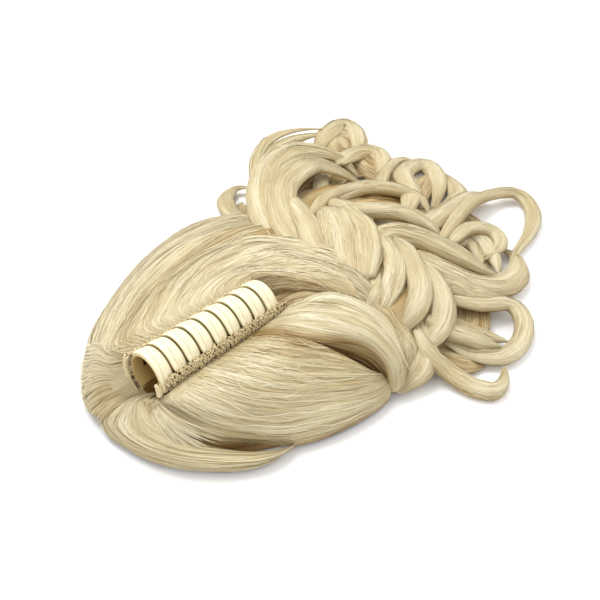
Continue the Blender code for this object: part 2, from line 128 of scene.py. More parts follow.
def add_node(tree: bpy.types.NodeTree, kind: str, settings: dict | None = None,
             inputs: dict | None = None, links: dict | None = None) -> bpy.types.Node:
    """Add a shader node with its settings and links.

    Args:
        tree: the material's node tree.
        kind: the node's class name.
        settings: values of the node's own properties.
        inputs: values of its sockets, by name or index.
        links: sockets that it reads from, by name or index.

    Returns:
        The new node.
    """
    node = tree.nodes.new(kind)
    for name, value in (settings or {}).items():
        setattr(node, name, value)
    return set_node(tree, node, inputs, links)


def new_material(name: str) -> tuple[bpy.types.Material, bpy.types.NodeTree, bpy.types.Node]:
    """Make an empty node material.

    Args:
        name: the material's name.

    Returns:
        The material, its tree and its Principled shader.
    """
    material = bpy.data.materials.new(name)
    material.use_nodes = True
    tree = material.node_tree
    return material, tree, tree.nodes["Principled BSDF"]


def set_ramp(node: bpy.types.Node, stops: Stops) -> None:
    """Set a colour ramp's stops.

    Args:
        node: the colour ramp.
        stops: pairs of a place and a hex colour.
    """
    ramp = node.color_ramp
    while len(ramp.elements) < len(stops):
        ramp.elements.new(0.5)
    for element, (place, colour) in zip(ramp.elements, stops):
        element.position = place
        element.color = linear(colour)


# Finishes


@dataclass(frozen=True)
class WigFibre:
    """Modacrylic wig fibre, melt-spun and heat-curled.

    To the eye it is pale blonde, with golden brown painted shade between the locks, and each lock has a
    soft gloss that is stretched across the fibres.

    Attributes:
        name: the material's name.
        stops: colours by tint, from the darkest painted shade to the palest strand.
        roughness: a bundle is duller than one fibre.
        ior: the usual index of modacrylic.
        specular: strength of the gloss.
        stretch: how far the gloss is drawn out across the fibres.
        streak_mm: width of the streaks that stand for the fibres. A fibre is 0.07 mm, too fine to show, so
            they are drawn about ten times as coarse.
        streak_run_mm: how far a streak runs along the hair.
        cloud_mm: size of the patches in which the colour drifts.
        swing: how much of the tints the streaks cover, and the patches too.
        groove: strength of the bump between the streaks.
        groove_mm: depth of that bump.
    """
    name: str = "modacrylic_fibre_spun"
    stops: Stops = (
        (0.0, "#6E4E20"), (0.2, "#A0824C"), (0.42, "#BAA67A"), (0.65, "#CDC098"), (1.0, "#E8E0C6"))
    roughness: float = 0.45
    ior: float = 1.52
    specular: float = 0.45
    stretch: float = 0.45
    streak_mm: float = 0.7
    streak_run_mm: float = 60.0
    cloud_mm: float = 28.0
    swing: float = 0.2
    groove: float = 0.35
    groove_mm: float = 0.25

    def build(self) -> bpy.types.Material:
        """Build tint by strand, streaks along the hair and a soft stretched highlight.

        Returns:
            The material. It reads the tint attribute, hair tone with painted shade, and the lay UVs of a
            mesh.
        """
        material, tree, shader = new_material(self.name)
        tint = add_node(tree, "ShaderNodeAttribute", {"attribute_name": "tint"})
        lay = add_node(tree, "ShaderNodeUVMap", {"uv_map": "lay"})
        scaled = add_node(tree, "ShaderNodeVectorMath", {"operation": "MULTIPLY"},
                          {1: (1 / self.streak_mm, 1 / self.streak_run_mm, 1.0)}, {0: lay.outputs["UV"]})
        streak = add_node(tree, "ShaderNodeTexNoise", {"noise_dimensions": "2D"},
                          {"Scale": 1.0, "Detail": 2.0, "Roughness": 0.55}, {"Vector": scaled.outputs[0]})
        place = add_node(tree, "ShaderNodeTexCoord")
        cloud = add_node(tree, "ShaderNodeTexNoise", {}, {"Scale": PER_METRE / self.cloud_mm, "Detail": 2.0},
                         {"Vector": place.outputs["Object"]})
        shifts = [add_node(tree, "ShaderNodeMath", {"operation": "MULTIPLY_ADD"},
                           {1: self.swing, 2: -self.swing / 2}, {0: noise.outputs["Fac"]}).outputs[0]
                  for noise in (streak, cloud)]
        both = add_node(tree, "ShaderNodeMath", {"operation": "ADD"}, {}, dict(enumerate(shifts)))
        total = add_node(tree, "ShaderNodeMath", {"operation": "ADD", "use_clamp": True}, {},
                         {0: tint.outputs["Fac"], 1: both.outputs[0]})
        ramp = add_node(tree, "ShaderNodeValToRGB", {}, {}, {"Fac": total.outputs[0]})
        set_ramp(ramp, self.stops)
        bump = add_node(tree, "ShaderNodeBump", {},
                        {"Strength": self.groove, "Distance": self.groove_mm * MM},
                        {"Height": streak.outputs["Fac"]})
        tangent = add_node(tree, "ShaderNodeTangent", {"direction_type": "UV_MAP", "uv_map": "lay"})
        set_node(tree, shader,
                 {"Roughness": self.roughness, "IOR": self.ior, "Specular IOR Level": self.specular,
                  "Anisotropic": self.stretch},
                 {"Base Color": ramp.outputs["Color"], "Normal": bump.outputs["Normal"],
                  "Tangent": tangent.outputs["Tangent"]})
        return material


@dataclass(frozen=True)
class ClipPlastic:
    """Acetal plastic, injection-moulded in ivory.

    To the eye it is pale and milky with a soft gloss and faint flow marks. Its inside is painted golden
    and olive brown as painted shade, darker further in from the mouth.

    Attributes:
        name: the material's name.
        colour: the plain colour.
        edge: the slightly deeper colour of the flow marks.
        inside: colours of the inside's painted shade, from the mouth inwards.
        grain_mm: size of the moulded surface's ripples.
        ripple: strength of the ripples.
        ripple_mm: their depth.
        roughness: gloss of the moulded surface.
        ior: the usual index of acetal.
        coat: the skin's clear gloss.
        coat_roughness: how soft that gloss is.
    """
    name: str = "acetal_plastic_moulded"
    colour: str = "#F3EAC9"
    edge: str = "#E9DDB4"
    inside: Stops = ((0.0, "#D2B77C"), (0.2, "#A37F42"), (0.45, "#7E6A34"), (1.0, "#8C8246"))
    grain_mm: float = 3.0
    ripple: float = 0.12
    ripple_mm: float = 0.15
    roughness: float = 0.33
    ior: float = 1.48
    coat: float = 0.15
    coat_roughness: float = 0.2

    def build(self) -> bpy.types.Material:
        """Build the pale outside and the painted shade of the inside.

        Returns:
            The material. It reads a mesh's inner attribute, which is 1 on inside faces, and its depth
            attribute, which runs in from the mouth; together they place the painted shade.
        """
        material, tree, shader = new_material(self.name)
        inner = add_node(tree, "ShaderNodeAttribute", {"attribute_name": "inner"})
        depth = add_node(tree, "ShaderNodeAttribute", {"attribute_name": "depth"})
        place = add_node(tree, "ShaderNodeTexCoord")
        flow = add_node(tree, "ShaderNodeTexNoise", {}, {"Scale": PER_METRE / self.grain_mm, "Detail": 3.0},
                        {"Vector": place.outputs["Object"]})
        ramp = add_node(tree, "ShaderNodeValToRGB", {}, {}, {"Fac": depth.outputs["Fac"]})
        set_ramp(ramp, self.inside)
        skin = add_node(tree, "ShaderNodeMix", {"data_type": "RGBA"},
                        {"A": linear(self.colour), "B": linear(self.edge)}, {"Factor": flow.outputs["Fac"]})
        colour = add_node(tree, "ShaderNodeMix", {"data_type": "RGBA"}, {},
                          {"Factor": inner.outputs["Fac"], "A": skin.outputs["Result"],
                           "B": ramp.outputs["Color"]})
        bump = add_node(tree, "ShaderNodeBump", {},
                        {"Strength": self.ripple, "Distance": self.ripple_mm * MM},
                        {"Height": flow.outputs["Fac"]})
        set_node(tree, shader,
                 {"Roughness": self.roughness, "IOR": self.ior, "Coat Weight": self.coat,
                  "Coat Roughness": self.coat_roughness},
                 {"Base Color": colour.outputs["Result"], "Normal": bump.outputs["Normal"]})
        return material


@dataclass(frozen=True)
class SewingThread:
    """Polyester sewing thread, twisted from plies and dyed blonde.

    To the eye it is matt and slightly fuzzy, with painted shade in the gaps between its plies.

    Attributes:
        name: the material's name.
        light: colour of the raised plies.
        dark: colour of the gaps between them, painted shade.
        ply_mm: spacing of the plies, 0.4 mm on such thread, drawn at 0.8 mm so that it shows.
        stops_at: where the dark and the light colour stand in the noise.
        twist: strength of the plies' bump.
        twist_mm: its depth.
        roughness: polyester thread has no gloss.
        sheen: the fuzz of its loose fibres.
    """
    name: str = "polyester_thread_twisted"
    light: str = "#EADCB2"
    dark: str = "#BBA06A"
    ply_mm: float = 0.8
    stops_at: tuple[float, float] = (0.35, 0.62)
    twist: float = 0.5
    twist_mm: float = 0.2
    roughness: float = 0.75
    sheen: float = 0.3

    def build(self) -> bpy.types.Material:
        """Build the mottled colour and the rough surface.

        Returns:
            The material.
        """
        material, tree, shader = new_material(self.name)
        place = add_node(tree, "ShaderNodeTexCoord")
        ply = add_node(tree, "ShaderNodeTexNoise", {}, {"Scale": PER_METRE / self.ply_mm, "Detail": 3.0},
                       {"Vector": place.outputs["Object"]})
        ramp = add_node(tree, "ShaderNodeValToRGB", {}, {}, {"Fac": ply.outputs["Fac"]})
        set_ramp(ramp, tuple(zip(self.stops_at, (self.dark, self.light))))
        bump = add_node(tree, "ShaderNodeBump", {}, {"Strength": self.twist, "Distance": self.twist_mm * MM},
                        {"Height": ply.outputs["Fac"]})
        set_node(tree, shader, {"Roughness": self.roughness, "Sheen Weight": self.sheen},
                 {"Base Color": ramp.outputs["Color"], "Normal": bump.outputs["Normal"]})
        return material


@dataclass(frozen=True)
class WeftCloth(SewingThread):
    """Woven polyester tape that the hair is sewn to, golden brown.

    To the eye it is the dark ground between the pale stitches; its darkness is painted shade in the holes
    between them. Its weave of 0.5 mm is drawn at 1.2 mm so that it shows.
    """
    name: str = "weft_cloth_woven"
    light: str = "#86693A"
    dark: str = "#332209"
    ply_mm: float = 1.2


@dataclass(frozen=True)
class SpringSteel:
    """Spring steel wire, cold-drawn and bright.

    To the eye it is a grey mirror, broken by fine marks along the draw.

    Attributes:
        name: the material's name.
        colour: steel's reflection colour.
        mark_mm: spacing of the draw marks.
        roughness: from the clean wire to the marks.
    """
    name: str = "spring_steel_drawn"
    colour: str = "#B9B8B4"
    mark_mm: float = 0.4
    roughness: tuple[float, float] = (0.22, 0.42)

    def build(self) -> bpy.types.Material:
        """Build the bright metal with its marks.

        Returns:
            The material.
        """
        material, tree, shader = new_material(self.name)
        place = add_node(tree, "ShaderNodeTexCoord")
        marks = add_node(tree, "ShaderNodeTexNoise", {}, {"Scale": PER_METRE / self.mark_mm, "Detail": 2.0},
                         {"Vector": place.outputs["Object"]})
        rough = add_node(tree, "ShaderNodeMapRange", {}, dict(zip(("To Min", "To Max"), self.roughness)),
                         {"Value": marks.outputs["Fac"]})
        set_node(tree, shader, {"Base Color": linear(self.colour), "Metallic": 1.0},
                 {"Roughness": rough.outputs["Result"]})
        return material


@dataclass(frozen=True)
class StudioPaper:
    """Matt white background paper, which gives the eye soft shadows and no gloss."""
    name: str = "studio_paper_matt"
    colour: str = "#FCFCFD"
    roughness: float = 0.9

    def build(self) -> bpy.types.Material:
        """Build the plain paper.

        Returns:
            The material.
        """
        material, tree, shader = new_material(self.name)
        set_node(tree, shader, {"Base Color": linear(self.colour), "Roughness": self.roughness})
        return material


# Helpers for shapes


SPLINE_STEPS = 16       # pieces of each span between two points
STEEP = 0.9             # rise of a path above which its sides are found from X instead of Z
GROOVE_SHADE = 0.2      # how much lighter the top of a combed groove is
SHADE_WEIGHT = 0.8      # how much of a surface's shade its strands take


def through(points: Sequence[Point], count: int) -> np.ndarray:
    """Return a smooth curve through points, with equal steps along it.

    Args:
        points: the points that it passes.
        count: how many points come back.

    Returns:
        An array of count rows.
    """
    knots = np.asarray(points, float)
    knots = np.vstack([2 * knots[0] - knots[1], knots, 2 * knots[-1] - knots[-2]])
    steps = np.linspace(0, 1, SPLINE_STEPS + 1)[:-1, None]
    spans = []
    for a, b, c, d in zip(knots, knots[1:], knots[2:], knots[3:]):
        spans.append((2 * b + (c - a) * steps + (2 * a - 5 * b + 4 * c - d) * steps ** 2
                      + (3 * b - a - 3 * c + d) * steps ** 3) / 2)
    curve = np.vstack([*spans, knots[-2:-1]])
    run = np.concatenate([[0], np.cumsum(np.linalg.norm(np.diff(curve, axis=0), axis=1))])
    wanted = np.linspace(0, run[-1], count)
    return np.stack([np.interp(wanted, run, curve[:, axis]) for axis in range(3)], 1)


def unit(vectors: np.ndarray) -> np.ndarray:
    """Return the vectors at length one."""
    return vectors / np.maximum(np.linalg.norm(vectors, axis=-1, keepdims=True), 1e-9)


def run_along(paths: np.ndarray) -> np.ndarray:
    """Return how far along its path each point of (paths, points, 3) lies."""
    return np.linalg.norm(np.diff(paths, axis=1, prepend=paths[:, :1]), axis=-1).cumsum(1)


def halved(count: int) -> np.ndarray:
    """Return every second index of count, and the last one."""
    return np.union1d(np.arange(0, count, 2), [count - 1])


def with_lids(grid: np.ndarray, middle: np.ndarray) -> np.ndarray:
    """Close the two ends of a tube's grid.

    Args:
        grid: points, with rows along the tube and columns round it.
        middle: the middle of each row.

    Returns:
        The grid with a first and a last row more, which lie at the middle of their neighbours.
    """
    first, last = (np.broadcast_to(middle[end], grid[:1].shape) for end in (slice(0, 1), slice(-1, None)))
    return np.concatenate([first, grid, last])


def smooth_noise(rng: np.random.Generator, rows: int, columns: int, cells: tuple[int, int],
                 closed: bool = False) -> np.ndarray:
    """Return smooth noise on a grid, about -1 to 1.

    Args:
        rng: the seeded source.
        rows: grid rows, along the hair.
        columns: grid columns, across it.
        cells: how many bumps along and across.
        closed: whether the columns run round a lock.

    Returns:
        An array of rows by columns.
    """
    coarse = rng.uniform(-1, 1, (cells[0] + 1, cells[1] + 1))
    if closed:
        coarse[:, -1] = coarse[:, 0]
    along = np.linspace(0, cells[0], rows)
    across = np.linspace(0, cells[1], columns)
    i = np.minimum(along.astype(int), cells[0] - 1)
    j = np.minimum(across.astype(int), cells[1] - 1)
    a = (along - i)[:, None]
    b = (across - j)[None, :]
    a = a * a * (3 - 2 * a)
    b = b * b * (3 - 2 * b)
    return ((coarse[i][:, j] * (1 - a) + coarse[i + 1][:, j] * a) * (1 - b)
            + (coarse[i][:, j + 1] * (1 - a) + coarse[i + 1][:, j + 1] * a) * b)


class Surface:
    """A surface that hair follows: a grid with rows along the hair and columns across it.

    Attributes:
        points: the grid in millimetres.
        normals: its outward normals.
        shade: how far each place is lightened (up to 1) or darkened (down to -1).
        closed: whether the columns run round a lock.
    """

    def __init__(self, points: np.ndarray, closed: bool, shade: np.ndarray, relief: np.ndarray) -> None:
        """Raise the relief from the plain grid.

        Args:
            points: the plain grid, rows along the hair.
            closed: whether the columns run round a lock; the last column then repeats the first.
            shade: lightness change for each place.
            relief: height of the combed grooves in millimetres.
        """
        self.closed = closed
        self.points = points + self.find_normals(points) * relief[..., None]
        self.normals = self.find_normals(self.points)
        self.shade = shade + GROOVE_SHADE * relief / max(np.abs(relief).max(), 1e-6)

    def find_normals(self, points: np.ndarray) -> np.ndarray:
        """Find the outward normals of a grid.

        Args:
            points: the grid, rows along the hair.

        Returns:
            A normal of length one for each point.
        """
        along = np.gradient(points, axis=0)
        if self.closed:
            ring = points[:, :-1]
            across = np.roll(ring, -1, 1) - np.roll(ring, 1, 1)
            across = np.concatenate([across, across[:, :1]], 1)
        else:
            across = np.gradient(points, axis=1)
        return unit(np.cross(along, across))

    def sample(self, u: np.ndarray, v: np.ndarray) -> tuple[np.ndarray, np.ndarray, np.ndarray]:
        """Read the surface at places on it.

        Args:
            u: how far along each place is, from 0 to 1.
            v: how far across.

        Returns:
            Points, normals and shades.
        """
        rows, columns = self.points.shape[:2]
        v = v % 1.0 if self.closed else np.clip(v, 0, 1)
        x, y = np.clip(u, 0, 1) * (rows - 1), v * (columns - 1)
        i = np.minimum(x.astype(int), rows - 2)
        j = np.minimum(y.astype(int), columns - 2)
        a, b = x - i, y - j

        def mix(values: np.ndarray) -> np.ndarray:
            """Mix the four grid values round each place.

            Args:
                values: a value or a vector for each place of the grid.

            Returns:
                The mixed values.
            """
            s, t = (a[..., None], b[..., None]) if values.ndim == 3 else (a, b)
            return ((values[i, j] * (1 - s) + values[i + 1, j] * s) * (1 - t)
                    + (values[i, j + 1] * (1 - s) + values[i + 1, j + 1] * s) * t)

        return mix(self.points), unit(mix(self.normals)), mix(self.shade)


class Meshes:
    """Quads gathered from many pieces of hair, thread or plastic, to be made into one object."""

    def __init__(self) -> None:
        """Start with nothing gathered."""
        self.verts: list[np.ndarray] = []
        self.faces: list[np.ndarray] = []
        self.values: dict[str, list[np.ndarray]] = {}
        self.uvs: list[np.ndarray] = []
        self.total = 0

    def add_grid(self, grid: np.ndarray, uvs: np.ndarray, **values: np.ndarray) -> None:
        """Gather one or more grids of points.

        Args:
            grid: points in millimetres, the last three axes being rows, columns and x, y, z.
            uvs: a UV for each point.
            values: attributes, each with a value for every point or one that spreads to them.
        """
        rows, columns = grid.shape[-3:-1]
        copies = int(np.prod(grid.shape[:-3], dtype=int))
        index = np.arange(copies * rows * columns).reshape(copies, rows, columns) + self.total
        faces = np.stack([index[:, :-1, :-1], index[:, 1:, :-1], index[:, 1:, 1:], index[:, :-1, 1:]], -1)
        self.verts.append(grid.reshape(-1, 3))
        self.faces.append(faces.reshape(-1, 4))
        self.uvs.append(uvs.reshape(-1, 2))
        for name, value in values.items():
            self.values.setdefault(name, []).append(np.broadcast_to(value, grid.shape[:-1]).reshape(-1))
        self.total += index.size

    def build(self, name: str, material: bpy.types.Material, slot: Slot) -> bpy.types.Object:
        """Make the object, in metres, with its UVs and values.

        Args:
            name: the object's name.
            material: its material.
            slot: the record's slot; not used.

        Returns:
            The new object, not yet riding on its body.
        """
        verts = np.vstack(self.verts) * MM
        faces = np.vstack(self.faces)
        mesh = bpy.data.meshes.new(name)
        mesh.vertices.add(len(verts))
        mesh.vertices.foreach_set("co", verts.astype(np.float32).ravel())
        mesh.loops.add(faces.size)
        mesh.loops.foreach_set("vertex_index", faces.astype(np.int32).ravel())
        mesh.polygons.add(len(faces))
        mesh.polygons.foreach_set("loop_start", np.arange(0, faces.size, 4, dtype=np.int32))
        mesh.polygons.foreach_set("loop_total", np.full(len(faces), 4, np.int32))
        mesh.polygons.foreach_set("use_smooth", np.full(len(faces), True))
        mesh.update(calc_edges=True)
        layer = mesh.uv_layers.new(name="lay")
        layer.uv.foreach_set("vector", np.vstack(self.uvs)[faces.ravel()].astype(np.float32).ravel())
        for key, parts in self.values.items():
            attribute = mesh.attributes.new(key, "FLOAT", "POINT")
            attribute.data.foreach_set("value", np.concatenate(parts).astype(np.float32))
        mesh.materials.append(material)
        piece = bpy.data.objects.new(name, mesh)
        bpy.context.scene.collection.objects.link(piece)
        LOG.info("%s: %d triangles", name, 2 * len(faces))
        return piece


def tubes(paths: np.ndarray, radii: np.ndarray, sides: int) -> tuple[np.ndarray, np.ndarray]:
    """Return grids of points round paths.

    Args:
        paths: (tubes, points, 3) in millimetres.
        radii: radius for each tube and point.
        sides: corners round each tube.

    Returns:
        Points as (tubes, points, sides + 1, 3), and UVs in millimetres.
    """
    along = unit(np.gradient(paths, axis=1))
    helper = np.where(np.abs(along[..., 2:3]) > STEEP, np.array([1.0, 0, 0]), np.array([0, 0, 1.0]))
    side = unit(np.cross(helper, along))
    up = np.cross(along, side)
    turn = np.linspace(0, math.tau, sides + 1)[None, None, :, None]
    grid = paths[:, :, None] + (side[:, :, None] * np.cos(turn)
                                + up[:, :, None] * np.sin(turn)) * radii[..., None, None]
    uvs = np.stack(np.broadcast_arrays(turn[..., 0] * radii[..., None], run_along(paths)[..., None]), -1)
    return grid, uvs


@dataclass(frozen=True)
class Combing:
    """How strands lie on a surface.

    Attributes:
        width: a ribbon's width in millimetres. A ribbon stands for about ten fibres.
        cover: how many times the ribbons cover the surface.
        sink: how deep they spread below the surface.
        lift: how far they wave above it.
        drift: how far across they wander, as a share of the surface.
        ragged: share of the length over which tips end.
        root: share of the length over which roots begin.
        roll: how far the ribbons turn about their own length, in degrees.
        samples: points along a ribbon.
        tint: how much lighter or darker the ribbons are.
        fewest: the fewest ribbons on a surface.
        tip_power: how strongly the tips gather at the end.
        paces: fewest and most waves along a ribbon.
        slant: how far a ribbon slants, as a share of the drift.
        sway: how far it waves from side to side, as a share of the drift.
        hop: how much faster it waves up and down than from side to side.
        twist: how far its waves turn it, in degrees.
        widths: narrowest and widest ribbon, as shares of the width.
        root_width: share of its width that a ribbon has at its root.
        swell: how fast a ribbon gains its width from the root.
        shrink: how fast it thins to its tip.
        thinnest: share of its width that is left at the tip.
        deep_shade: how much darker a ribbon is for each millimetre below the surface.
        darkest: lowest tint.
        spread_mm: width of the streaks' pattern that the ribbons take parts of.
    """
    width: float = 0.42
    cover: float = 3.0
    sink: float = 0.2
    lift: float = 0.16
    drift: float = 0.03
    ragged: float = 0.2
    root: float = 0.03
    roll: float = 8.0
    samples: int = 22
    tint: float = 0.07
    fewest: int = 12
    tip_power: float = 1.6
    paces: tuple[float, float] = (0.7, 2.2)
    slant: float = 0.5
    sway: float = 0.35
    hop: float = 1.7
    twist: float = 12.0
    widths: tuple[float, float] = (0.7, 1.4)
    root_width: float = 0.35
    swell: float = 6.0
    shrink: float = 7.0
    thinnest: float = 0.08
    deep_shade: float = 0.12
    darkest: float = 0.02
    spread_mm: float = 400.0


def lay_strands(out: Meshes, surface: Surface, combing: Combing, rng: np.random.Generator,
                span: tuple[float, float] = (0.0, 1.0), lightness: float = 0.6) -> None:
    """Lay ribbons of fibres along a surface.

    Args:
        out: gathers the ribbons.
        surface: what they follow.
        combing: how they lie.
        rng: the seeded source.
        span: the part of the surface's width that they cover.
        lightness: the mean tint, from 0 for the darkest painted shade to 1 for the palest strand.
    """
    middle = surface.points[len(surface.points) // 2]
    girth = np.linalg.norm(np.diff(middle, axis=0), axis=1).sum() * (span[1] - span[0])
    count = max(combing.fewest, int(girth * combing.cover / combing.width))
    one_each = (count, 1)
    s = np.linspace(0, 1, combing.samples)[None]
    start = combing.root * rng.random(one_each)
    end = 1 - combing.ragged * rng.random(one_each) ** combing.tip_power
    u = start + (end - start) * s
    v0 = (np.arange(count)[:, None] + rng.random(one_each)) / count
    phase = rng.random(one_each) * math.tau
    pace = rng.uniform(*combing.paces, one_each)
    waves = np.sin(pace * math.tau * s + phase)
    v = span[0] + v0 * (span[1] - span[0]) + combing.drift * (
        rng.normal(0, combing.slant, one_each) * (s - 0.5) + combing.sway * waves)
    points, normals, shade = surface.sample(u, v)
    sunk = np.abs(rng.normal(0, 1, one_each)) * combing.sink
    wave = combing.lift * np.sin(pace * combing.hop * math.tau * s + phase * 2) * rng.random(one_each)
    points = points + normals * (wave - sunk)[..., None]
    along = unit(np.gradient(points, axis=1))
    side = unit(np.cross(along, normals))
    roll = np.radians(rng.normal(0, combing.roll, one_each) + combing.twist * waves)
    side = side * np.cos(roll)[..., None] + normals * np.sin(roll)[..., None]
    shape = np.clip(np.minimum(combing.root_width + combing.swell * s, combing.shrink * (1 - s)),
                    combing.thinnest, 1)
    width = combing.width * rng.uniform(*combing.widths, one_each) * shape
    edge = side * width[..., None] / 2
    grid = np.stack([points - edge, points + edge], 2)
    first = rng.random(one_each) * combing.spread_mm
    across = np.stack([first + np.zeros_like(width), first + width], -1)
    uvs = np.stack([across, np.broadcast_to(run_along(points)[..., None], across.shape)], -1)
    # Tint: the hair's own random tone, plus the surface's painted shade and painted shade on deeper ribbons
    tint = (lightness + rng.normal(0, combing.tint, one_each) + shade * SHADE_WEIGHT
            - combing.deep_shade * sunk)
    out.add_grid(grid, uvs, tint=np.clip(tint, combing.darkest, 1)[..., None])


# Clip and wefts


# Places across a band: over its crowned outside, down its second edge and back along its inside
BAND_ACROSS = np.array([0.0, 0.02, 0.09, 0.2, 0.35, 0.5, 0.65, 0.8, 0.91, 0.98, 1.0, 1.0, 0.5, 0.0, 0.0])
BAND_INSIDE = slice(11, 14)
BAND_CORNERS = [0, 10, 14]


@dataclass
class ClawClip:
    """The two-jaw claw clip: curved combs whose teeth lie side by side in pairs over the top.

    A lean is an angle on the clip's oval in degrees, from the top towards +Y on the left jaw. The right
    jaw is the left one turned half round about Z.

    Attributes:
        length: the clip's length.
        teeth: how many teeth each jaw has.
        centre_z: height of the oval's middle.
        half_width: half the oval's width, outside.
        half_height: half its height.
        wall: thickness of the plastic.
        plate_low: lean of the plain plate's lower edge.
        plate_high: lean of its upper edge, where the teeth begin.
        plate_drop: how far the plate's outside falls to its edges.
        overlap: how far the teeth reach into the plate, in degrees.
        tip: lean of the teeth's tips.
        long_tip: lean of the first left tooth's tip, which goes round the mouth.
        step: degrees between two rows of points.
        row_slack: degrees by which the last row may lie past its end.
        pair_half: half the width of a pair of teeth.
        pair_shift: how far the slit in a pair slants to each side.
        tooth_gap: width of that slit.
        slit_swell: how much wider the gap between two pairs is at the top.
        edge_drop: how far a tooth's outside falls to its first edge.
        crown: power by which it falls, high for a flat crown.
        far_drop: the fall to the other edge, as a share of the first.
        far_crown: power of that fall.
        proud: how far the teeth stand above the oval.
        shingle: how far one edge of a tooth stands above the other, as shingles do.
        flare: how far the tips rise.
        flare_rows: how many rows rise.
        tip_rows: how many rows round off to the tip.
        tip_width: share of its width that a tooth has at the very end.
        blunt: roundness left in the last row, so that it has no zero faces.
        mouth_depth: how far the mouth's light reaches into the clip.
        edge_inner: how much the edges take of the inside's painted shade.
        hinge_z: height of the pin.
        ear_radius: outside of the hinge ears.
        ear_bevel: the bevel on them.
        bore_radius: their bore.
        tab_half: half the length of the thumb tab.
        tab: the tab's profile in y and z.
        sharp: angle in degrees from which an edge is shaded sharp.
    """
    length: float = 100.0
    teeth: int = 9
    centre_z: float = 38.0
    half_width: float = 15.0
    half_height: float = 17.0
    wall: float = 1.8
    plate_low: float = 155.0
    plate_high: float = 105.0
    plate_drop: float = 0.3
    overlap: float = 2.0
    tip: float = -72.0
    long_tip: float = -104.0
    step: float = 4.0
    row_slack: float = 0.1
    pair_half: float = 5.2
    pair_shift: float = 2.45
    tooth_gap: float = 0.14
    slit_swell: float = 0.1
    edge_drop: float = 1.0
    crown: int = 5
    far_drop: float = 0.3
    far_crown: int = 8
    proud: float = 0.8
    shingle: float = 1.35
    flare: float = 1.5
    flare_rows: int = 7
    tip_rows: int = 2
    tip_width: float = 0.35
    blunt: float = 0.03
    mouth_depth: float = 42.0
    edge_inner: float = 0.55
    hinge_z: float = 20.0
    ear_radius: float = 3.2
    ear_bevel: float = 0.3
    bore_radius: float = 1.38
    tab_half: float = 18.0
    tab: tuple[tuple[float, float], ...] = ((7.2, 22.6), (5.9, 20.0), (8.2, 15.5), (13.0, 11.0))
    sharp: float = 50.0

    def oval(self, lean: np.ndarray | float, add: np.ndarray | float = 0.0) -> tuple[np.ndarray, np.ndarray]:
        """Find places on the clip's outer oval.

        Args:
            lean: degrees from the top towards +Y.
            add: how far above the oval the places lie.

        Returns:
            Their y and z.
        """
        angle = np.radians(lean)
        return ((self.half_width + add) * np.sin(angle),
                self.centre_z + (self.half_height + add) * np.cos(angle))

    def rows(self, first: float, last: float) -> np.ndarray:
        """Return leans from first down to last, a step apart."""
        return np.arange(first, last - self.row_slack, -self.step)

    def tooth_edges(self, middle: float, lean: np.ndarray) -> tuple[np.ndarray, np.ndarray]:
        """Find the two edges of the left jaw's tooth in one pair.

        Args:
            middle: the pair's middle in x.
            lean: the rows, in degrees.

        Returns:
            The lower and the upper edge in x, row by row.
        """
        share = np.clip(lean / -self.tip, -1, 1)
        swell = self.slit_swell * np.cos(share * math.pi / 2)
        return middle - self.pair_half + swell, middle + self.pair_shift * share - self.tooth_gap / 2

    def add_band(self, out: Meshes, leans: np.ndarray, edges: tuple[np.ndarray, np.ndarray], turned: int,
                 drop: float, tip_rows: int = 0, shingle: float = 0.0, proud: float = 0.0) -> None:
        """Add a curved band with a crowned outside and rounded edges.

        Args:
            out: gathers the band.
            leans: the rows, in degrees.
            edges: its lower and upper edge in x, row by row.
            turned: 1, or -1 for the right jaw.
            drop: how far the outside falls to its first edge.
            tip_rows: how many of the last rows round off to the tip; a band with some also flares there.
            shingle: how far its first edge stands above its second one.
            proud: how far the whole outside stands above the oval.
        """
        across = BAND_ACROSS
        height = (proud - drop * (1 - across) ** self.crown - self.far_drop * drop * across ** self.far_crown
                  + shingle / 2 * (1 - across))
        height[BAND_INSIDE] = -self.wall
        height[-1] = height[0]
        # Inside faces, and partly the band's edges, take the inside's painted shade
        inner = np.zeros(across.size)
        inner[BAND_INSIDE] = 1.0
        inner[BAND_CORNERS] = self.edge_inner
        shrink = np.ones(leans.size)
        flare = np.zeros(leans.size)
        if tip_rows:
            ends = np.linspace(0, 1, tip_rows + 1)[1:]
            shrink[-tip_rows:] = np.sqrt(np.maximum(1 - ends ** 2, self.blunt))
            flare[-self.flare_rows:] = self.flare * np.linspace(0, 1, self.flare_rows) ** 2
        low, high = edges
        half = (high - low) / 2 * (self.tip_width + (1 - self.tip_width) * shrink)
        x = ((low + high) / 2)[:, None] + half[:, None] * (2 * across[None] - 1)
        add = -self.wall / 2 + (height[None] + self.wall / 2) * shrink[:, None] + flare[:, None]
        y, z = self.oval(leans[:, None], add)
        grid = np.stack([x * turned, y * turned, z], -1)
        grid = with_lids(grid, grid.mean(1, keepdims=True))
        # How far in from the mouth, which sets how dark the inside's painted shade is
        depth = np.clip((grid[..., 0] + self.length / 2) / self.mouth_depth, 0, 1)
        out.add_grid(grid, grid[..., :2], inner=inner, depth=depth)

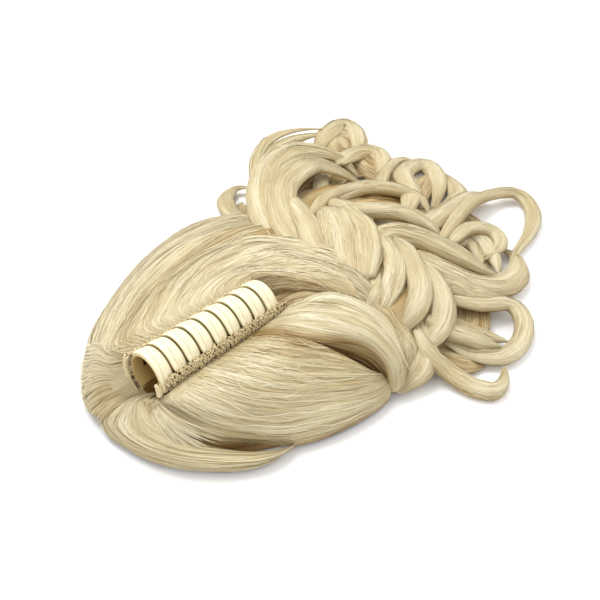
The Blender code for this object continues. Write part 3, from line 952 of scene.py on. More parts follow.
    def build_jaw(self, node: str, turned: int, ears: tuple[float, float], body: Body,
                  material: bpy.types.Material) -> None:
        """Build one jaw: its teeth, plate, thumb tab and ears.

        Args:
            node: the CAD node that it stands for.
            turned: 1, or -1 for the right jaw.
            ears: where an ear begins and ends in x; the other one is its mirror image.
            body: the half that it turns with.
            material: its plastic.
        """
        out = Meshes()
        pitch = self.length / self.teeth
        root = self.plate_high + self.overlap
        for index in range(self.teeth):
            framing = index == 0 and turned > 0
            leans = self.rows(root, self.long_tip if framing else self.tip)
            edges = self.tooth_edges((index - (self.teeth - 1) / 2) * pitch, leans)
            self.add_band(out, leans, edges, turned, self.edge_drop, self.tip_rows, self.shingle * turned,
                          self.proud)
        leans = self.rows(self.plate_low, self.plate_high)
        half = np.full(leans.size, self.length / 2)
        self.add_band(out, leans, (-half, half), turned, self.plate_drop)
        self.add_tab(out, turned)
        for side in (-1, 1):
            self.add_ear(out, side * ears[0], side * ears[1], turned)
        piece = out.build(f"clip_{node}", material, Slot.PLASTIC)
        piece.data.set_sharp_from_angle(angle=math.radians(self.sharp))
        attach(piece, body.value)
        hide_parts(node)

    def add_tab(self, out: Meshes, turned: int, rows: int = 16, columns: int = 13) -> None:
        """Add the thumb tab below the plate.

        Args:
            out: gathers it.
            turned: 1, or -1 for the right jaw.
            rows: points down its profile.
            columns: places along its length.
        """
        line = through([(0.0, y, z) for y, z in self.tab], rows)[:, 1:]
        normal = unit(np.gradient(line, axis=0))[:, ::-1] * np.array([1, -1])
        back = line + normal * self.wall
        ring = np.concatenate([line, back[::-1], line[:1]])
        grid = np.stack([np.stack([np.full(len(ring), place * turned), ring[:, 0] * turned, ring[:, 1]], -1)
                         for place in np.linspace(-self.tab_half, self.tab_half, columns)])
        grid = with_lids(grid, grid.mean(1, keepdims=True))
        out.add_grid(grid, grid[..., :2], inner=np.array(0.0), depth=np.array(0.0))

    def add_ear(self, out: Meshes, low: float, high: float, turned: int, corners: int = 24) -> None:
        """Add one hinge ear, a short bevelled barrel round the pin.

        Args:
            out: gathers it.
            low: where it begins in x.
            high: where it ends.
            turned: 1, or -1 for the right jaw.
            corners: corners round it.
        """
        turn = np.linspace(0, math.tau, corners + 1)
        rim = self.ear_radius - self.ear_bevel
        ring = [(low, self.bore_radius), (low, rim), (low, self.ear_radius), (high, self.ear_radius),
                (high, rim), (high, self.bore_radius), (low, self.bore_radius)]
        grid = np.stack([np.stack([np.full(turn.size, x * turned), radius * np.sin(turn),
                                   self.hinge_z + radius * np.cos(turn)], -1) for x, radius in ring], 1)
        out.add_grid(grid, grid[..., :2], inner=np.array(0.0), depth=np.array(0.0))


@dataclass
class Weft:
    """The stitched band that holds the hair outside one jaw, with its cord round the near rim.

    Attributes:
        clip: the clip that it follows.
        turned: 1, or -1 for the right jaw.
        low: lean of its lower edge.
        high: lean of its upper edge.
        start: where it begins in x.
        end: where it ends.
        rim_from: lean at which the rim cord begins.
        rim_to: lean at which it ends.
        rise: how far it stands above the clip.
        cloth_rise: height of the cloth, and of its lumps, as shares of the rise.
        cloth_edge: height of the cloth's edges.
        cloth_inset: how far behind the start the cloth begins.
        cloth_over: degrees by which it reaches past the lower edge, and past the upper one.
        cloth_points: points of the cloth along and across.
        lumps: how many lumps lie along and across.
        stitch: spacing of the stitches.
        stitch_points: points along a stitch.
        lays: which way each pass of stitches slants.
        lay_step: how far every second pass lies above the others.
        jitter: a stitch's place in its spacing, as mean and spread.
        slants: least and most slant, in spacings.
        low_scatter: degrees of lean to add where a stitch begins, as mean and spread.
        high_scatter: the same where it ends.
        arch: height of a stitch's ends, and what its middle adds, as shares of the rise.
        arches: least and most of what the middle adds.
        bend: how far a stitch bends sideways.
        bends: fewest and most bends of a stitch.
        bend_phases: range of the bends' phases.
        thread: the thread's radius.
        thicknesses: thinnest and thickest stitch, and a running thread, as shares of that radius.
        running: each running thread's place from the lower edge (0) to the upper edge (1), how many degrees
            of lean to add there, and the phase of its waves.
        sides: corners round a thread.
        run_points: points along a running thread, which is as long as the weft.
        wander: how far it waves, in degrees.
        run_arch: its mean height and its waves up and down, as shares of the rise.
        slow_wave: size and pace of the slower waves that it also has.
        plies: how many threads the rim cord is twisted from.
        ply_radius: radius of one of them.
        cord_radius: how far they lie from the cord's middle.
        cord_add: how far that middle stands above the clip's oval.
        cord_x: its place in x.
        cord_turn: degrees of lean in which the cord twists once.
        cord_points: points along the cord.
        cord_sides: corners round a ply.
    """
    clip: ClawClip
    turned: int
    low: float = 99.0
    high: float = 71.0
    start: float = -54.0
    end: float = 50.5
    rim_from: float = 50.0
    rim_to: float = 112.0
    rise: float = 1.9
    cloth_rise: tuple[float, float] = (0.55, 0.3)
    cloth_edge: float = 0.1
    cloth_inset: float = 4.0
    cloth_over: tuple[float, float] = (3.0, 2.0)
    cloth_points: tuple[int, int] = (150, 14)
    lumps: tuple[int, int] = (60, 6)
    stitch: float = 3.2
    stitch_points: int = 11
    lays: tuple[int, ...] = (1, -1, 1, -1)
    lay_step: float = 0.1
    jitter: tuple[float, float] = (0.5, 0.25)
    slants: tuple[float, float] = (0.2, 1.3)
    low_scatter: tuple[float, float] = (1.0, 6.0)
    high_scatter: tuple[float, float] = (-1.0, 4.0)
    arch: tuple[float, float] = (0.3, 0.9)
    arches: tuple[float, float] = (0.6, 1.2)
    bend: float = 0.5
    bends: tuple[float, float] = (0.5, 1.5)
    bend_phases: float = 6.0
    thread: float = 0.45
    thicknesses: tuple[float, float, float] = (0.5, 1.1, 0.9)
    running: tuple[tuple[float, float, float], ...] = (
        (0.0, -3.0, 0.0), (1.0, 1.0, 1.3), (1.0, 9.0, 4.0), (0.5, 0.0, 2.0))
    sides: int = 6
    run_points: int = 240
    wander: float = 2.4
    run_arch: tuple[float, float] = (0.95, 0.3)
    slow_wave: tuple[float, float] = (0.6, 1.37)
    plies: int = 4
    ply_radius: float = 0.8
    cord_radius: float = 1.1
    cord_add: float = 1.4
    cord_x: float = -52.6
    cord_turn: float = 13.0
    cord_points: int = 200
    cord_sides: int = 8

    def arc_path(self, places: np.ndarray, leans: np.ndarray, add: np.ndarray) -> np.ndarray:
        """Return points at places in x and leans on the oval, raised by add."""
        y, z = self.clip.oval(leans, add)
        return np.stack([places, y * self.turned, z], -1)

    def band(self, rng: np.random.Generator) -> Meshes:
        """Make the woven band, dark as painted shade in the holes between the stitches, with its lumpy
        surface.

        Args:
            rng: the seeded source.

        Returns:
            Its mesh.
        """
        out = Meshes()
        rows, columns = self.cloth_points
        below, above = self.cloth_over
        x = np.linspace(self.start + self.cloth_inset, self.end, rows)[:, None]
        leans = np.linspace(self.low + below, self.high - above, columns)[None]
        plain, lump = self.cloth_rise
        height = self.rise * (plain + lump * smooth_noise(rng, rows, columns, self.lumps))
        height[:, [0, -1]] = self.cloth_edge
        grid = self.arc_path(x + 0 * leans, leans + 0 * x, height)
        if self.turned < 0:
            grid = grid[:, ::-1]
        out.add_grid(grid, grid[..., :2])
        return out

    def threads(self, rng: np.random.Generator) -> Meshes:
        """Make the overcast stitches, and the threads that run along them.

        Args:
            rng: the seeded source.

        Returns:
            Their mesh.
        """
        out = Meshes()
        count = int((self.end - self.start) / self.stitch)
        one_each = (count, 1)
        share = np.linspace(0, 1, self.stitch_points)[None]
        thinnest, thickest, even = self.thicknesses
        for lay in self.lays:
            x0 = self.start + self.stitch * (np.arange(count)[:, None] + rng.normal(*self.jitter, one_each))
            slant = lay * self.stitch * rng.uniform(*self.slants, one_each)
            leans = (self.low + rng.normal(*self.low_scatter, one_each)) * (1 - share) + (
                self.high + rng.normal(*self.high_scatter, one_each)) * share
            middle = self.arch[1] * np.sin(share * math.pi) * rng.uniform(*self.arches, one_each)
            lift = self.rise * (self.arch[0] + middle) + self.lay_step * (lay > 0)
            waves = rng.uniform(*self.bends, one_each)
            bend = self.bend * np.sin(share * math.tau * waves + rng.random(one_each) * self.bend_phases)
            paths = self.arc_path(x0 + slant * (share - 0.5) + bend, leans, lift)
            radii = self.thread * rng.uniform(thinnest, thickest, one_each) * np.ones_like(share)
            out.add_grid(*tubes(paths, radii, self.sides))
        run = np.linspace(self.start, self.end, self.run_points)[None]
        for place, more, phase in self.running:
            lean = self.low * (1 - place) + self.high * place + more
            turn = run * math.tau / self.stitch + phase
            wobble = np.sin(turn) + self.slow_wave[0] * np.sin(run * self.slow_wave[1] + phase * 3)
            lift = self.rise * (self.run_arch[0] + self.run_arch[1] * np.cos(turn))
            paths = self.arc_path(run, lean + self.wander * wobble, lift)
            out.add_grid(*tubes(paths, np.full(run.shape, self.thread * even), self.sides))
        return out

    def rim(self) -> Meshes:
        """Make the cord round the mouth's near edge, of plies twisted together.

        Returns:
            Its mesh.
        """
        out = Meshes()
        leans = np.linspace(self.rim_from, self.rim_to, self.cord_points)[None]
        for ply in range(self.plies):
            twist = (leans - self.rim_from) * math.tau / self.cord_turn + ply * math.tau / self.plies
            path = self.arc_path(self.cord_x + self.cord_radius * np.sin(twist), leans,
                                 self.cord_add + self.cord_radius * np.cos(twist))
            out.add_grid(*tubes(path, np.full(leans.shape, self.ply_radius), self.cord_sides))
        return out

    def build(self, node: str, body: Body, seed: Seed, cloth: bpy.types.Material,
              thread: bpy.types.Material) -> None:
        """Build the band, the threads and the rim cord of one side.

        Args:
            node: the CAD node that they stand for.
            body: the half that they turn with.
            seed: the start of their random numbers.
            cloth: the band's material.
            thread: the material of the threads and the cord.
        """
        rng = seed.source()
        for piece in (self.band(rng).build(f"{node}_band", cloth, Slot.THREAD),
                      self.threads(rng).build(f"{node}_stitches", thread, Slot.THREAD),
                      self.rim().build(f"{node}_rim_cord", thread, Slot.THREAD)):
            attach(piece, body.value)
            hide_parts(node)


# Hair


class Lock(NamedTuple):
    """One curl: its width and thickness, the points along its top, and how light its hair is painted, low
    on the dark locks as painted shade.
    """
    name: str
    width: float
    thick: float
    points: list[Point]
    light: float = 0.6


class Guide(NamedTuple):
    """One line that hair follows over a side: how much lighter it is painted there, below 0 as painted
    shade in valleys, crevices and hollows, and its points.
    """
    light: float
    points: list[Point]


class RimGuide(NamedTuple):
    """A line of hair folded out over the clip's near rim: its lean on the oval, lightness and points."""
    lean: float
    light: float
    points: list[Point]


class Section(NamedTuple):
    """A cross-section of the hair under the locks: its first and last edge in y, and its height."""
    x: float
    first: float
    last: float
    height: float


# The curls, from the smooth lock behind the clip to the tips.
TAIL_LOCKS = [
    Lock("smooth_lock", 36, 20, [(58, 38, 46), (76, 24, 49), (89, 4, 50), (98, -16, 49), (106, -38, 44),
        (110, -60, 34)]),
    Lock("bridge_lock", 34, 22, [(64, 62, 40), (84, 52, 43), (98, 30, 46), (108, 6, 48), (115, -16, 48),
        (116, -40, 42)]),
    Lock("shelf_lock", 36, 22, [(66, 100, 28), (90, 98, 28), (110, 88, 30), (122, 66, 34), (118, 40, 40)]),
    Lock("rim_turn", 24, 16, [(66, 120, 17), (92, 120, 18), (112, 112, 20), (124, 96, 24), (128, 76, 28)]),
    Lock("outer_loop", 11, 7, [(118, 74, 26), (141, 93, 28), (161, 124, 26), (193, 159, 25),
        (225, 177, 24), (254, 177, 22), (279, 168, 18), (293, 161, 14)]),
    Lock("crown_loop", 28, 14, [(110, 40, 38), (125, 75, 38), (150, 105, 40), (180, 125, 40),
        (210, 133, 38), (235, 124, 33), (250, 108, 25), (250, 88, 16)]),
    Lock("inner_loop", 27, 12, [(110, 22, 42), (130, 60, 42), (155, 90, 42), (185, 105, 40),
        (213, 108, 35), (230, 92, 27), (238, 74, 18)]),
    Lock("brow_wave", 18, 12, [(105, -10, 48), (115, 15, 48), (133, 40, 46), (145, 62, 42), (160, 90, 35),
        (178, 112, 26)]),
    Lock("centre_wave", 32, 16, [(105, -30, 46), (120, -10, 48), (143, 15, 48), (158, 38, 45),
        (168, 60, 36)]),
    Lock("edge_wave", 20, 14, [(115, -35, 46), (135, -20, 48), (155, 0, 48), (166, 25, 45), (176, 48, 40),
        (186, 74, 30)]),
    Lock("slit_band", 14, 12, [(160, 58, 34), (200, 62, 30), (226, 56, 28), (242, 38, 26), (248, 18, 24),
        (238, 2, 22)]),
    Lock("upper_band", 16, 12, [(158, 36, 46), (180, 20, 44), (200, 4, 40), (210, -12, 34),
        (214, -32, 26)]),
    Lock("long_band", 20, 14, [(140, -14, 46), (168, -10, 44), (184, -22, 40), (195, -42, 33),
        (206, -65, 23), (216, -85, 14)]),
    Lock("lower_band", 22, 14, [(142, -30, 44), (160, -42, 41), (170, -60, 35), (185, -80, 25),
        (207, -90, 17), (232, -88, 13), (252, -72, 11), (250, -56, 11)]),
    Lock("base_band", 16, 12, [(148, -55, 38), (165, -72, 29), (180, -90, 21), (202, -100, 14)]),
    Lock("ring_right", 13, 9, [(192, -38, 30), (230, -26, 28), (270, -15, 23), (306, -16, 16),
        (326, -28, 12), (314, -50, 10), (285, -65, 10), (252, -72, 10), (226, -82, 11)]),
    Lock("ring_inner", 14, 10, [(205, -40, 28), (238, -36, 24), (254, -48, 19), (246, -62, 16),
        (224, -62, 15)]),
    Lock("ring_low", 14, 9, [(150, -72, 28), (172, -94, 20), (193, -104, 14), (190, -119, 11),
        (170, -130, 10), (146, -130, 10), (130, -113, 12), (126, -94, 18)]),
    Lock("low_tress", 14, 11, [(124, -80, 30), (133, -98, 22), (145, -111, 15), (156, -125, 10)]),
    Lock("foot_hook", 14, 10, [(112, -82, 28), (106, -99, 20), (108, -115, 13), (110, -130, 10),
        (117, -143, 9), (130, -143, 9), (143, -135, 10)]),
    Lock("end_lobe", 24, 14, [(134, -66, 28), (120, -78, 24), (106, -90, 20), (90, -99, 16),
        (70, -101, 14)]),
    Lock("side_curl", 15, 10, [(108, 66, 30), (120, 98, 22), (134, 128, 14), (146, 148, 11),
        (165, 155, 11), (173, 140, 14)]),
    Lock("back_curl", 19, 10, [(240, 104, 24), (282, 116, 14), (296, 104, 11), (278, 84, 11),
        (246, 64, 14)]),
    Lock("hill_curl", 18, 10, [(214, 8, 28), (252, 32, 21), (280, 62, 14), (306, 68, 10), (312, 54, 10),
        (288, 28, 12), (246, 4, 18)]),
    Lock("gap_curl", 12, 10, [(228, 48, 24), (268, 74, 14), (296, 84, 10), (308, 78, 10), (306, 62, 10)]),
    Lock("knee_curl", 17, 11, [(208, -12, 28), (250, -6, 20), (288, 8, 13), (308, 32, 10), (314, 48, 10)]),
    Lock("swell_lock", 20, 12, [(204, -14, 30), (252, -8, 24), (290, -4, 17), (308, -14, 14)]),
    Lock("first_fall", 17, 12, [(163, 1, 42), (154, -19, 44), (140, -39, 44), (123, -51, 41),
        (106, -58, 37), (95, -59, 32)]),
    Lock("second_fall", 18, 12, [(165, -12, 42), (159, -32, 43), (147, -52, 42), (134, -67, 39),
        (117, -74, 34), (104, -74, 28), (90, -74, 23)]),
    Lock("third_fall", 20, 12, [(163, -27, 38), (158, -50, 38), (149, -71, 35), (136, -86, 30),
        (120, -92, 24), (105, -91, 19), (95, -90, 14)]),
    Lock("fourth_fall", 14, 10, [(133, -24, 38), (117, -42, 39), (101, -51, 36), (90, -54, 32)]),
    Lock("lip_fall", 14, 9, [(124, -76, 22), (118, -88, 17), (107, -94, 14), (91, -94, 12)]),
    Lock("low_strand_a", 12, 9, [(143, -70, 24), (143, -84, 19), (148, -100, 15), (157, -113, 11),
        (165, -126, 9)]),
    Lock("low_strand_b", 11, 8, [(130, -81, 18), (130, -95, 14), (136, -108, 10), (147, -120, 8),
        (158, -127, 8)]),
    Lock("ring_curl", 15, 9, [(227, -16, 22), (241, -28, 19), (244, -47, 15), (233, -66, 12),
        (221, -79, 9)]),
    Lock("ring_curl_b", 11, 8, [(213, -33, 20), (230, -40, 17), (227, -54, 14), (214, -67, 11)]),
    Lock("arch_fill", 14, 8, [(185, 63, 22), (199, 85, 20), (220, 104, 16), (245, 113, 12)]),
    Lock("slit_top", 12, 9, [(146, 49, 40), (177, 61, 37), (204, 63, 32), (231, 58, 26), (252, 46, 20),
        (259, 32, 16)]),
    Lock("loop_fill", 15, 8, [(164, 126, 20), (197, 154, 21), (230, 166, 21), (263, 167, 17),
        (290, 161, 12)], 0.58),
    Lock("join_lock", 20, 12, [(93, 6, 44), (98, 27, 42), (104, 48, 38), (119, 74, 32), (139, 102, 26)]),
    Lock("low_cover", 26, 12, [(101, -51, 38), (98, -65, 34), (95, -78, 28), (90, -89, 22),
        (84, -98, 15)], 0.5),
    Lock("top_roll", 20, 10, [(261, 147, 16), (290, 161, 14), (314, 165, 12), (314, 150, 11),
        (293, 126, 11), (269, 105, 11)]),
]

# Small locks on the right of the mouth.
RIM_LOCKS = [
    Lock("rim_first", 9, 5, [(-55, -4, 29), (-56, -10, 27), (-55, -20, 23), (-50, -33, 17),
        (-44, -45, 12)], 0.62),
    Lock("rim_second", 10, 6, [(-58, -3, 26), (-60, -11, 23), (-59, -21, 18), (-53, -34, 12),
        (-46, -45, 8)], 0.55),
    Lock("rim_third", 8, 5, [(-54, -8, 30), (-54, -16, 29), (-51, -27, 26), (-45, -39, 21),
        (-36, -51, 15)], 0.66),
]

# The two locks that arch over the hollow beside the clip.
HOOD_LOCKS = [
    Lock("arch_lock", 12, 7, [(50, -26, 44), (61, -28, 48), (72, -36, 51), (78, -48, 52), (82, -61, 50),
        (85, -71, 46), (82, -84, 40), (81, -92, 34), (79, -102, 26)], 0.66),
    Lock("arch_inner", 9, 6, [(52, -32, 43), (63, -37, 47), (71, -47, 50), (75, -61, 50), (78, -72, 46),
        (77, -83, 40), (75, -92, 34), (74, -100, 25)], 0.6),
]

# Dark locks low down between the curls, painted dark as the shade in the hollows between them.
TAIL_SHADOWS = [
    Lock("top_inner", 16, 7, [(262, 132, 11), (287, 144, 12), (280, 124, 11)], 0.45),
    Lock("side_fill", 22, 9, [(112, 70, 24), (126, 96, 18), (140, 120, 12), (156, 138, 9)], 0.4),
    Lock("inner_shadow", 40, 10, [(152, 63, 16), (174, 89, 15), (210, 107, 13), (247, 107, 11),
        (266, 86, 10)], 0.25),
    Lock("slit_shadow", 26, 10, [(189, 61, 20), (215, 57, 20), (239, 44, 18), (251, 22, 16)], 0.15),
    Lock("back_shadow", 32, 9, [(256, 134, 10), (276, 121, 10), (274, 92, 9), (273, 66, 9),
        (279, 43, 8)], 0.35),
    Lock("top_fill", 22, 9, [(262, 146, 12), (296, 159, 10), (300, 142, 9), (270, 108, 9)], 0.5),
    Lock("hill_fill", 22, 9, [(223, 15, 16), (265, 34, 12), (296, 47, 9), (311, 49, 8)], 0.45),
    Lock("ring_fill", 38, 9, [(218, 1, 18), (247, -8, 15), (248, -30, 12), (234, -52, 9),
        (217, -67, 9)], 0.42),
    Lock("low_fill", 36, 9, [(161, -55, 20), (168, -72, 16), (163, -88, 11), (135, -102, 9)], 0.38),
    Lock("under_fill", 40, 12, [(109, -39, 26), (108, -58, 22), (96, -79, 18), (81, -89, 12)], 0.42),
    Lock("foot_fill", 18, 8, [(121, -84, 14), (118, -99, 11), (122, -113, 9), (134, -126, 7)], 0.45),
    Lock("wedge_fill", 28, 10, [(148, -3, 30), (146, -22, 30), (134, -41, 26)], 0.25),
]

# The hair under the curls and under the two sides, painted darker as the shade under them.
TAIL_MOUND = [
    Section(80, -84, 112, 34), Section(110, -88, 96, 38), Section(140, -84, 92, 37),
    Section(170, -78, 104, 31), Section(200, -66, 106, 24), Section(225, -46, 98, 17),
    Section(246, -16, 66, 9),
]
LEFT_MOUND = [
    Section(-66, 28, 4, 8), Section(-50, 50, 14, 20), Section(-25, 76, 14, 23), Section(10, 98, 14, 24),
    Section(45, 110, 8, 26), Section(85, 112, -20, 30), Section(112, 100, -24, 32),
]
RIGHT_MOUND = [
    Section(-66, -4, -28, 8), Section(-50, -14, -44, 17), Section(-25, -14, -64, 17),
    Section(10, -14, -82, 18), Section(50, -10, -90, 22), Section(72, -4, -92, 26),
    Section(100, 0, -84, 32),
]

# The smooth roll of the left side, from the floor up to the clip's end; its dark guides are painted
# shade in the valley and beside the clip's end.
LEFT_SIDE = [
    Guide(-0.1, [(-53, 3, 21), (-64, 10, 12), (-76, 22, 6), (-72, 44, 5), (-50, 74, 5), (-22, 99, 5),
        (25, 121, 6), (75, 131, 6), (104, 129, 7), (130, 112, 9)]),
    Guide(0.0, [(-53, 8, 26), (-64, 16, 20), (-72, 32, 16), (-62, 51, 16), (-34, 82, 16), (0, 103, 16),
        (38, 120, 17), (76, 128, 18), (105, 124, 19), (128, 106, 21)]),
    Guide(0.1, [(-53, 12, 31), (-62, 20, 27), (-66, 37, 24), (-54, 52, 25), (-30, 72, 27), (0, 89, 28),
        (35, 101, 29), (67, 105, 29), (98, 100, 29), (126, 84, 29)]),
    Guide(0.05, [(-52, 15, 35), (-60, 24, 33), (-60, 38, 31), (-46, 53, 31), (-22, 68, 32), (4, 80, 33),
        (32, 90, 33), (62, 93, 33), (96, 82, 34), (128, 60, 36)]),
    Guide(-0.2, [(-50, 15, 37), (-56, 26, 35), (-53, 38, 33), (-39, 52, 31), (-15, 65, 31), (8, 74, 31),
        (38, 82, 31), (65, 80, 32), (97, 62, 35), (124, 38, 40)]),
    Guide(0.0, [(-46, 15, 39), (-54, 24, 38), (-49, 36, 37), (-33, 46, 37), (-8, 57, 38), (20, 65, 39),
        (48, 67, 40), (72, 58, 43), (92, 37, 46), (106, 10, 47)]),
    Guide(0.1, [(-36, 15, 41), (-44, 23, 42), (-42, 31, 43), (-26, 40, 43), (-2, 50, 44), (24, 57, 45),
        (50, 57, 46), (72, 46, 48), (90, 23, 49), (102, -3, 49)]),
    Guide(0.05, [(-20, 15, 42), (-28, 21, 44), (-27, 28, 45), (-12, 34, 46), (8, 41, 46), (28, 45, 47),
        (50, 43, 48), (70, 31, 49), (86, 10, 50), (98, -16, 49)]),
    Guide(0.08, [(4, 15, 43), (-2, 20, 45), (4, 26, 46), (18, 31, 47), (32, 34, 47), (48, 33, 48),
        (63, 24, 49), (76, 8, 50), (88, -14, 50), (98, -36, 46)]),
    Guide(0.05, [(28, 15, 43), (30, 19, 45), (38, 23, 47), (48, 24, 48), (58, 19, 49), (68, 8, 50),
        (78, -8, 51), (87, -26, 49), (94, -44, 44)]),
    Guide(0.0, [(46, 14, 43), (50, 15, 45), (56, 13, 47), (63, 6, 49), (71, -7, 50), (79, -23, 50),
        (87, -41, 45), (92, -57, 38)]),
    Guide(-0.25, [(50, 9, 38), (54, 9, 41), (60, 4, 44), (67, -5, 46), (74, -18, 47), (81, -33, 46),
        (88, -51, 40), (92, -66, 32)]),
    Guide(-0.4, [(50, 2, 35), (57, 0, 38), (65, -6, 41), (72, -16, 42), (79, -28, 43), (85, -42, 42),
        (90, -56, 37), (93, -70, 29)]),
]

# Hair that folds out over the mouth's rim: the left half from the top down, the right from below up.
LEFT_FAN = [
    RimGuide(52, 0.0, [(-58, 26, 46), (-53, 40, 42), (-51, 53, 33), (-48, 69, 20), (-41, 85, 6)]),
    RimGuide(66, 0.08, [(-60, 27, 41), (-59, 38, 37), (-58, 50, 29), (-57, 64, 17), (-53, 75, 5)]),
    RimGuide(82, 0.08, [(-63, 27, 34), (-66, 36, 29), (-66, 46, 22), (-65, 57, 12), (-61, 62, 4)]),
    RimGuide(102, 0.0, [(-65, 24, 28), (-71, 31, 22), (-74, 38, 15), (-74, 44, 9), (-73, 46, 3)]),
    RimGuide(125, -0.05, [(-66, 18, 23), (-74, 22, 17), (-78, 27, 11), (-79, 31, 7), (-79, 31, 3)]),
    RimGuide(150, -0.1, [(-66, 10, 19), (-74, 12, 15), (-79, 14, 10), (-81, 15, 6), (-81, 15, 3)]),
    RimGuide(172, -0.05, [(-65, 3, 19), (-73, 2, 15), (-78, 1, 11), (-80, -1, 7), (-80, -2, 3)]),
]
RIGHT_FAN = [
    RimGuide(165, -0.1, [(-66, 5, 19), (-74, 5, 15), (-79, 6, 10), (-81, 6, 6), (-81, 6, 3)]),
    RimGuide(185, 0.0, [(-65, -1, 20), (-72, -3, 17), (-77, -6, 13), (-78, -9, 9), (-78, -10, 5)]),
    RimGuide(205, 0.05, [(-62, -6, 22), (-67, -11, 20), (-71, -20, 17), (-72, -30, 13), (-68, -38, 8)]),
    RimGuide(225, 0.08, [(-60, -11, 25), (-63, -18, 25), (-65, -30, 21), (-61, -42, 17), (-53, -54, 13)]),
    RimGuide(242, 0.08, [(-58, -14, 29), (-60, -22, 29), (-60, -34, 26), (-54, -47, 21), (-44, -60, 16)]),
    RimGuide(258, 0.05, [(-55, -17, 33), (-56, -24, 34), (-54, -36, 32), (-47, -50, 28), (-36, -63, 23)]),
]

# The right side's roll round the mouth, its main fall, its hood, and the hollow in the hood; the dark
# guides and the hollow are painted shade in the crevices and under the hood.
RIGHT_ROLL = [
    Guide(-0.1, [(-47, 5, 21), (-62, 10, 18), (-74, 20, 9), (-80, 8, 5), (-78, -8, 4), (-73, -28, 3),
        (-64, -45, 3), (-51, -61, 3), (-40, -72, 4), (-27, -80, 5), (-13, -83, 6), (0, -82, 2)]),
    Guide(0.05, [(-47, 3, 22), (-61, 7, 22), (-69, 8, 18), (-77, 4, 14), (-77, -11, 12), (-73, -29, 12),
        (-65, -46, 12), (-52, -63, 11), (-41, -72, 10), (-28, -81, 9), (-13, -84, 8), (1, -81, 3)]),
    Guide(0.12, [(-47, 1, 23), (-60, 2, 24), (-67, -5, 21), (-72, -14, 18), (-70, -27, 17), (-64, -43, 16),
        (-54, -57, 14), (-42, -70, 12), (-29, -80, 11), (-13, -84, 9), (1, -80, 3)]),
    Guide(0.0, [(-47, -2, 24), (-59, -3, 26), (-63, -13, 25), (-64, -26, 22), (-59, -39, 19),
        (-50, -52, 15), (-38, -65, 12), (-26, -76, 10), (-12, -83, 8), (1, -79, 2)]),
    Guide(-0.3, [(-47, -5, 26), (-58, -7, 27), (-60, -16, 26), (-58, -28, 22), (-52, -41, 17),
        (-43, -51, 11), (-34, -61, 7), (-22, -72, 6), (-10, -81, 6), (2, -77, 1)]),
]
RIGHT_MAIN = [
    Guide(-0.35, [(-47, -4, 24), (-58, -4, 24), (-59, -14, 22), (-57, -27, 17), (-50, -39, 11),
        (-40, -48, 6), (-28, -56, 4), (-17, -66, 3), (-7, -79, 3), (5, -87, 3), (20, -93, 3), (35, -97, 3),
        (52, -100, 3), (64, -100, 4)]),
    Guide(-0.05, [(-47, -9, 27), (-57, -10, 28), (-56, -19, 28), (-54, -31, 25), (-49, -42, 21),
        (-40, -52, 17), (-29, -61, 13), (-18, -71, 10), (-6, -82, 9), (6, -89, 9), (21, -95, 9),
        (36, -98, 9), (51, -101, 9), (65, -100, 8)]),
    Guide(0.05, [(-47, -13, 31), (-55, -16, 33), (-53, -24, 33), (-49, -35, 31), (-42, -46, 27),
        (-32, -57, 23), (-20, -69, 20), (-6, -80, 17), (10, -88, 16), (25, -94, 15), (40, -97, 15),
        (53, -99, 14), (67, -98, 11)]),
    Guide(0.05, [(-48, -17, 35), (-50, -21, 38), (-48, -30, 39), (-41, -44, 36), (-29, -57, 32),
        (-15, -68, 28), (0, -78, 25), (16, -85, 22), (30, -91, 20), (44, -95, 19), (56, -97, 17),
        (68, -97, 13)]),
    Guide(0.02, [(-36, -16, 36), (-37, -21, 38.5), (-35, -31, 41), (-29, -45, 41), (-17, -59, 38),
        (-3, -69, 34), (13, -77, 29), (27, -84, 26), (41, -90, 23), (52, -94, 21), (68, -95, 15)]),
    Guide(0.05, [(-21, -16, 36), (-22, -21, 39), (-19, -31, 42), (-14, -45, 44), (-4, -57, 42),
        (9, -66, 38), (23, -75, 33), (35, -82, 29), (47, -89, 26), (58, -92, 22), (69, -93, 16)]),
    Guide(0.0, [(-5, -16, 36), (-5, -21, 39), (-2, -32, 43), (4, -46, 45), (15, -57, 43), (26, -65, 38),
        (36, -74, 34), (46, -82, 30), (56, -89, 26), (67, -92, 19)]),
    Guide(-0.08, [(10, -16, 36), (11, -22, 40), (16, -35, 45), (23, -48, 46), (32, -59, 43), (42, -69, 38),
        (49, -78, 34), (55, -86, 29), (64, -91, 22)]),
    Guide(-0.2, [(17, -16, 36), (19, -22, 40.5), (24, -36, 46), (31, -50, 47), (40, -60, 43),
        (48, -70, 37), (54, -78, 31), (60, -85, 25), (66, -90, 19)]),
    Guide(-0.5, [(22, -16, 36), (25, -22, 40), (30, -36, 45), (36, -50, 45), (43, -59, 40), (50, -67, 33),
        (56, -75, 27), (63, -83, 22), (69, -89, 16)]),
]
